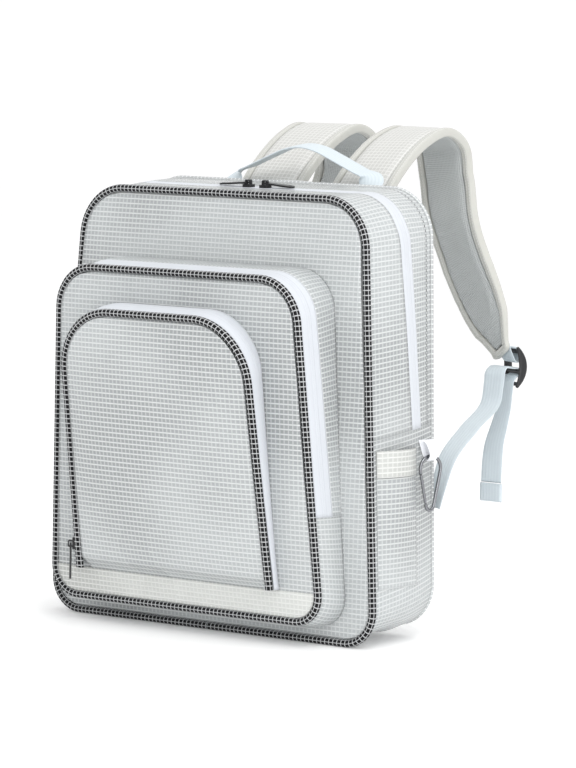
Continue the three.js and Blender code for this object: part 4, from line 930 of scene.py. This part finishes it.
def handle_way(share):
    """Flat at both feet, on edge over the arch."""
    on_edge = smooth_step(0.5 - np.abs(share - 0.5), 0.06, 0.24)
    turn, tilt = on_edge * np.pi / 2, math.radians(7)
    side = np.where(share < 0.5, -1, 1)
    return np.stack([np.cos(turn) * side, np.sin(turn) * math.cos(tilt), math.sin(tilt) * on_edge], -1)


handle = band("handle_band", band_frames(points, handle_way, 120), webbing_width, 2.4)
dress(handle, pale_webbing, "pale_webbing", "haul_handle")

# %% [markdown]
# ## Shoulder straps
# A strap is a padded band of white mesh above and mesh below whose grey is partly painted shade, with a cream
# binding folded over its edge.
# The pad is filled, so it is swollen by a short cloth simulation between its bindings, and its weave is drawn
# on it afterwards from each point's place along and across the strap.

# %% The strap's middle line and its widths
root_x, root_z, strap_turn = 57, 418, 25
root_y = back_face_y(root_z, root_x / 179.5) + sheet_wall + 5.5
strap_rows = [
    (0, -0.08, 0), (0.22, 0.42, 0), (0.5, 0.86, 0.01), (0.74, 1, 0.03), (0.92, 0.78, 0.04),
    (0.965, 0.36, 0.06), (0.94, -0.1, 0.19), (0.955, -0.4, 0.37), (0.945, -0.6, 0.56),
    (0.9, -0.83, 0.84), (0.88, -1, 1),
]
height_at = lambda u: root_z + u * (75 if u > 0 else 144)
strap_points = [(root_x + 86.5 * s, root_y + 170 * o, height_at(u)) for o, u, s in strap_rows]
strap = band_frames(strap_points, lambda share: flat_way(strap_turn * share), 160)
strap_width = 34 + 42 * np.interp(strap["share"], (0, 0.78, 0.9, 1), (1, 1, 0.72, 0))
strap_wall = 11 * np.interp(strap["share"], (0, 0.78, 0.9, 1), (1, 1, 0.8, 0.6))
strap_run = run_lengths(strap["middle"])


def pad_solid(name, thin):
    """The pad's closed section: a flat oval whose edges are thinner, carried along the strap."""
    half = strap_width / 2 - 8 + 0.6
    u = np.sin(np.linspace(-np.pi / 2, np.pi / 2, 19))
    thick = (strap_wall * thin / 2)[:, None] * (0.5 + 0.5 * np.sqrt(1 - u**8))
    thick[:, [0, -1]] *= 0.9
    grid = capped(both_faces(strap, half[:, None] * u, thick))
    flat = np.zeros(grid.shape[:2])
    return joined_up(surface(name, grid, flat, flat, loop_columns=True))


def swollen(piece, pressure, cap):
    """A cloth run: even small faces, air inside, no weight, 14 steps, and no point moves more than cap mm."""
    remesh = piece.modifiers.new("even", "REMESH")
    remesh.mode, remesh.voxel_size = "VOXEL", 0.0036
    cloth = piece.modifiers.new("air", "CLOTH")
    cloth.settings.use_pressure = True
    cloth.settings.uniform_pressure_force = pressure
    cloth.settings.effector_weights.gravity = 0
    cloth.settings.quality = 4
    scene = bpy.context.scene
    before = None
    for step in range(1, 15):
        scene.frame_set(step)
        if before is None:
            before = points_of(piece.evaluated_get(bpy.context.evaluated_depsgraph_get()).data)
    shaped = bpy.data.meshes.new_from_object(piece.evaluated_get(bpy.context.evaluated_depsgraph_get()))
    after = points_of(shaped)
    scene.frame_set(1)
    move = after - before
    length = np.linalg.norm(move, axis=1)[:, None]
    move *= np.minimum(1, cap / 1000 / np.maximum(length, 1e-9))
    shaped.vertices.foreach_set("co", (before + move).ravel())
    piece.modifiers.clear()
    piece.data = shaped
    print(piece.name, "swelled by up to", round(1000 * float(length.max()), 2), "mm before the cap")
    return piece


def points_of(mesh):
    """A mesh's points as an array, in metres."""
    places = np.empty(len(mesh.vertices) * 3)
    mesh.vertices.foreach_get("co", places)
    return places.reshape(-1, 3)


# %% The pads
pad = pad_solid("pad_right", 0.84)
swollen(pad, 3.0, 1.2)
softer = pad.modifiers.new("soft", "SUBSURF")
softer.levels = softer.render_levels = 1


def weave_on_pad(piece):
    """UV from the strap's nearest frame: across, moved up 60 mm, and along; 10 m more on the underside."""
    places = points_of(piece.data) * 1000
    apart = lambda part: ((part[:, None] - strap["middle"][None]) ** 2).sum(-1)
    nearest = np.concatenate([np.argmin(apart(part), 1) for part in np.array_split(places, 12)])
    away = places - strap["middle"][nearest]
    across = (away * strap["side"][nearest]).sum(1) + 60
    along = strap_run[nearest] + (away * strap["tangent"][nearest]).sum(1)
    facing = np.empty(len(piece.data.polygons) * 3)
    piece.data.polygons.foreach_get("normal", facing)
    corners = np.empty(len(piece.data.loops), int)
    piece.data.loops.foreach_get("vertex_index", corners)
    sizes = np.empty(len(piece.data.polygons), int)
    piece.data.polygons.foreach_get("loop_total", sizes)
    owner = np.repeat(np.arange(len(sizes)), sizes)
    under = (facing.reshape(-1, 3)[owner] * strap["out"][nearest[corners]]).sum(1) > -0.25
    uv = np.stack([across[corners], along[corners] + np.where(under, 10000, 0)], 1) / 1000
    layer = piece.data.uv_layers[0] if piece.data.uv_layers else piece.data.uv_layers.new(name="UVMap")
    layer.data.foreach_set("uv", uv.ravel())
    piece.data.polygons.foreach_set("use_smooth", np.ones(len(sizes), bool))


weave_on_pad(pad)
pad_left = mirrored(pad, "pad_left")
softer = pad_left.modifiers["soft"]
softer.levels = softer.render_levels = 1
for piece, node in ((pad, "shoulder_pad_right"), (pad_left, "shoulder_pad_left")):
    piece.data.materials.clear()
    dress(piece, strap_pad, "strap_pad", node)


# %% The bindings
def binding(name):
    """An oval section of 8 mm carried down one edge, round the tip and up the other edge."""
    reach = strap_width / 2 - 4
    tip = {key: strap[key][-1] for key in ("middle", "tangent", "side", "out")}
    turn = np.linspace(0, np.pi, 26)[1:-1]
    square = np.stack([np.sign(np.cos(turn)) * np.abs(np.cos(turn)) ** 0.45, np.sin(turn) ** 0.45], 1)
    round_tip = tip["middle"] + tip["side"] * (reach[-1] * square[:, :1])
    round_tip = round_tip + tip["tangent"] * (0.6 + 4 * square[:, 1:])
    round_out = tip["side"] * np.cos(turn)[:, None] + tip["tangent"] * np.sin(turn)[:, None]
    to_edge = strap["side"] * reach[:, None]
    down, up = strap["middle"] + to_edge, strap["middle"] - to_edge
    middle = np.vstack([down, round_tip, up[::-1]])
    outward = np.vstack([strap["side"], round_out, -strap["side"][::-1]])
    facing = np.vstack([strap["out"], np.broadcast_to(tip["out"], round_tip.shape), strap["out"][::-1]])
    thick = np.concatenate([strap_wall, np.full(len(round_tip), strap_wall[-1]), strap_wall[::-1]]) * 0.42
    a = np.linspace(0, 2 * np.pi, 19)[:-1]
    c = np.sign(np.cos(a)) * np.abs(np.cos(a)) ** 0.42
    s = np.sign(np.sin(a)) * np.abs(np.sin(a)) ** 0.42
    grid = middle[:, None] + outward[:, None] * (4 * c)[None, :, None]
    grid = grid + facing[:, None] * (thick[:, None] * s)[..., None]
    grid = capped(grid)
    run = run_lengths(grid.mean(1))
    along = np.broadcast_to(run[:, None], grid.shape[:2])
    across = np.broadcast_to((4 * c + 4)[None], grid.shape[:2])
    return joined_up(surface(name, grid, across, along, loop_columns=True))


right_and_left(binding("binding_right"), cream_binding, "cream_binding", "shoulder_binding")

# %% [markdown]
# ## Adjusters and webbing
# A short loop under the strap's tip holds the black adjuster. The webbing comes up from the bag's lower
# corner, goes over the middle bar and hangs down as a tail, whose end is folded twice and stitched.

# %% The adjuster's own frame
lock_angle = math.radians(strap_turn)
lock_across, lock_back = flat_way(strap_turn), np.array([math.sin(lock_angle), math.cos(lock_angle), 0])
tip = np.array(strap_points[-1])
lock_middle = tip + 4 * lock_across + 9.5 * lock_back - [0, 0, 19]


def in_lock(n, h, w=0.0):
    """A place in the adjuster's frame: n backwards, h up, w along its bars."""
    n, h, w = (np.asarray(value, float)[..., None] for value in (n, h, w))
    return lock_middle + lock_across * w + lock_back * n + np.array([0, 0, 1]) * h


bars = {"top": (3.4, 16), "middle": (6, -5), "bottom": (2.4, -17.4)}


def tube(name, path, way, radii, sides=18):
    """An oval carried along a path: radii across way and square to it; both ends are drawn in to a point."""
    path = np.asarray(path, float)
    tangent = np.gradient(path, axis=0)
    tangent /= np.linalg.norm(tangent, axis=1)[:, None]
    first = np.broadcast_to(way, path.shape)
    second = np.cross(tangent, first)
    second /= np.linalg.norm(second, axis=1)[:, None]
    a = np.linspace(0, 2 * np.pi, sides + 1)[:-1]
    radii = np.broadcast_to(np.asarray(radii, float).reshape(-1, 2), (len(path), 2))
    grid = path[:, None] + first[:, None] * (radii[:, :1] * np.cos(a))[..., None]
    grid = grid + second[:, None] * (radii[:, 1:] * np.sin(a))[..., None]
    ends = [np.broadcast_to(path[k], grid[0].shape)[None] for k in (0, -1)]
    grid = np.concatenate([ends[0], grid, ends[1]])
    run = np.broadcast_to(run_lengths(grid.mean(1))[:, None], grid.shape[:2])
    around = np.broadcast_to(a * radii[0, 0], grid.shape[:2])
    return joined_up(surface(name, grid, around, run, loop_columns=True))


def merged(name, pieces):
    """Several closed shapes kept as one piece."""
    work = bmesh.new()
    for piece in pieces:
        work.from_mesh(piece.data)
        bpy.data.objects.remove(piece)
    mesh = bpy.data.meshes.new(name)
    work.to_mesh(mesh)
    work.free()
    whole = bpy.data.objects.new(name, mesh)
    bpy.context.collection.objects.link(whole)
    return whole


# %% The adjuster: two bowed rails and three round bars
h = np.linspace(-20.5, 20.5, 41)
bow = 11 * (1 - (h / 20.5) ** 2)
rails = [
    tube("rail", in_lock(bow * 0.65, h, w), lock_across, np.column_stack([np.full(41, 1.6), 1.4 + bow * 0.3]))
    for w in (-14.9, 14.9)
]
w = np.linspace(-14.9, 14.9, 12)
rungs = [tube("bar", in_lock(n + 0 * w, hh + 0 * w, w), lock_back, (2.1, 2.1)) for n, hh in bars.values()]
right_and_left(merged("adjuster_right", rails + rungs), black_nylon, "black_plastic", "ladder_lock")

# %% Loop, lower webbing, tail and folded end
gap = lambda k: strap_wall[k] / 2 + clearance * 2 + webbing_wall / 2
under = lambda k, on: strap["middle"][k] - strap["out"][k] * gap(k) + strap["tangent"][k] * on
legs = [under(k, on) for k, on in ((-9, 0), (-1, 0), (-1, 8))]
hold = [(1, 5.4), (4.4, 5.8), (6.9, 10.6), (7.1, 16.2), (3.4, 19.8), (0.9, 19)]
points = np.vstack([legs, [in_lock(n, hh) for n, hh in hold]])
tip_side = strap["side"][-1]
loop_way = lambda share: tip_side + (lock_across - tip_side) * np.minimum(1, share * 3)[:, None]
loop_band = band("lock_loop_band_right", band_frames(points, loop_way, 60), webbing_width, webbing_wall)
right_and_left(loop_band, pale_webbing, "pale_webbing", "lock_loop")

wrap_turn = np.linspace(-0.5 * np.pi, 0.56 * np.pi, 5)
reach = 2.1 + clearance * 2 + webbing_wall / 2
round_bar = in_lock(6 + reach * np.cos(wrap_turn), -5 + reach * np.sin(wrap_turn))
wrap = np.vstack([round_bar, in_lock(-1.5, -1)[None]])
anchor = np.array([184, 0, 128.0])
lower_across = (184 - webbing_width / 2) / half_width(half_loop(body_back), 128)
anchor[1] = back_face_y(128, lower_across) + 0.6 + clearance * 4 + webbing_wall
route = np.array([
    (0.02, 0.9, 1.01), (0.04, 0.86, 0.98), (0.07, 0.838, 0.88), (0.155, 0.784, 0.73),
    (0.52, 0.484, 0.567), (0.98, 0.151, 0.367), (1.16, 0.02, 0.142), (1.1, 0, 0),
])
shares = np.column_stack([route[:, 0], 1 - route[:, 1], 1 - route[:, 2]])
slack_points = wrap[-1] + (anchor - wrap[-1]) * shares
lower_way = lambda share: flat_way(np.interp(share, (0.4, 0.56, 0.72, 1), (strap_turn, 0, 5, 30)))
lower_frames = band_frames(np.vstack([wrap, slack_points]), lower_way, 150)
lower_band = band("lower_webbing_band_right", lower_frames, webbing_width, webbing_wall)
right_and_left(lower_band, pale_webbing, "pale_webbing", "lower_webbing")

lead = np.array([in_lock(n, hh) for n, hh in ((5.2, -8.8), (1.2, -10.6), (-1.7, -14.8), (-2.6, -20.5))])
fall = np.array([(0.16, 0.2), (0.46, 0.38), (0.84, 0.6), (0.96, 0.8), (1, 1)])
hang = lead[3] + np.column_stack([0 * fall[:, 0], -fall[:, 0] * 25, -fall[:, 1] * 97])
to_level = np.array([1, 0, 0]) - lock_across
tail_way = lambda share: lock_across + to_level * smooth_step(share, 0.4, 0.9)[:, None]
tail = band("tail_band_right", band_frames(np.vstack([lead, hang]), tail_way, 90), webbing_width, webbing_wall)
right_and_left(tail, pale_webbing, "pale_webbing", "strap_tail")
ends = [hang[-1] + [0, 0, -0.6 - 19 * k] for k in (0, 0.33, 0.66, 1)]
fold_frames = band_frames(ends, lambda share: np.tile([1.0, 0, 0], (len(share), 1)), 16)
fold = band("tail_fold_band_right", fold_frames, 26.6, 4.8)
right_and_left(fold, pale_webbing, "pale_webbing", "tail_fold")

# %% [markdown]
# ## Tab and snap hook
# A tape loop at the right end of the main zip holds a bent wire hook. Its gate is a second wire, which turns
# on the hook's lower end.

# %% Tab, hook and gate
tab_z = 197 + 2
front_half, back_half = half_loop(body_front), half_loop(body_back)
body_side = half_width(front_half, tab_z) * 0.2 + half_width(back_half, tab_z) * 0.8
tab_x = body_side + 6 * math.sin(math.pi * 0.8) + webbing_wall
tab_root = np.array([tab_x, body_front_y(tab_z) * 0.2 + body_back_y(tab_z) * 0.8, tab_z])
hook_turn = math.radians(15)
hook_along = np.array([math.sin(hook_turn), math.cos(hook_turn), 0])
hook_out = np.array([math.cos(hook_turn), -math.sin(hook_turn), 0])
tab_reach = 27.0
tab_rows = np.array([
    (0.13, 0), (0.18, 0.3), (0.23, 0.56), (0.4, 0.72), (0.58, 0.56), (0.54, 0.3), (0.4, 0.06), (0.27, 0.01)
])
tab_points = tab_root + hook_out * (tab_reach * tab_rows[:, :1]) - [0, 0, tab_reach] * tab_rows[:, 1:]
tab_frames = band_frames(tab_points, lambda share: np.tile(hook_along, (len(share), 1)), 80)
tab_width = 20 - 10 * np.sin(np.pi * tab_frames["share"])
tab = band("tab_band", tab_frames, tab_width, webbing_wall)
plain_tape = webbing_finish("plain_tape", (0.86, 0.87, 0.90), (0.78, 0.79, 0.83))
dress(tab, plain_tape, "white_tape", "zip_tab")

hook_top = tab_root + hook_out * (tab_reach * 0.4) - [0, 0, tab_reach * 0.57]
hook_width, hook_foot, hook_height, wire = 29, 13, 57, 3.4
high_r, low_r, wire_r = (hook_width - wire) / 2, (hook_foot - wire) / 2, wire / 2
low_v = -(hook_height - wire) + low_r
slant = math.asin((high_r - low_r) / (-low_v - high_r))


def hook_arc(radius, v, start, stop, count):
    """Places (towards the rear, up) on an arc, from one angle to another."""
    a = np.linspace(start, stop, count)
    return np.column_stack([radius * np.cos(a), v + radius * np.sin(a)])


high_left = np.array([-high_r * math.cos(slant), -high_r - high_r * math.sin(slant)])
low_left = np.array([-low_r * math.cos(slant), low_v - low_r * math.sin(slant)])
on_left = lambda share: high_left + (low_left - high_left) * share
side_run = float(np.linalg.norm(low_left - high_left))
gate_stop = 0.06 + 30 / side_run
outline = np.vstack([
    on_left(0.06 - 0.3 / side_run),
    hook_arc(high_r, -high_r, math.pi + slant, -slant, 40),
    hook_arc(low_r, low_v, -slant, -math.pi + slant, 26),
    on_left(gate_stop + 0.9 / side_run),
])
in_hook = lambda uv: hook_top + hook_along * uv[:, :1] + np.array([0, 0, 1.0]) * uv[:, 1:]
hook = tube("hook_wire", in_hook(outline), hook_out, (wire_r, wire_r))
dress(hook, chrome, "chrome", "carabiner_hook", body="hook")
gate_line = np.linspace(0.06, gate_stop, 24)[:, None]
gate_r = wire_r - 0.2 - 0.35 * smooth_step(np.abs(np.linspace(-1, 1, 24)), 0.86, 1)
gate = tube("gate_wire", in_hook(on_left(gate_line)), hook_out, np.column_stack([gate_r, gate_r]))
dress(gate, chrome, "chrome", "carabiner_gate", body="gate")

# %% [markdown]
# ## Hard pieces that stay as cut
# The sliders and their pulls are small castings with crisp edges, so the solids keep their shape and get
# enamel.

# %% Sliders and pulls
for name in ("main_left", "main_right", "middle", "small"):
    for part in ("slider", "pull"):
        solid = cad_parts[f"{name}_{part}"]
        for holder in solid.material_slots:
            holder.material = black_enamel.material
print("eight castings enamelled")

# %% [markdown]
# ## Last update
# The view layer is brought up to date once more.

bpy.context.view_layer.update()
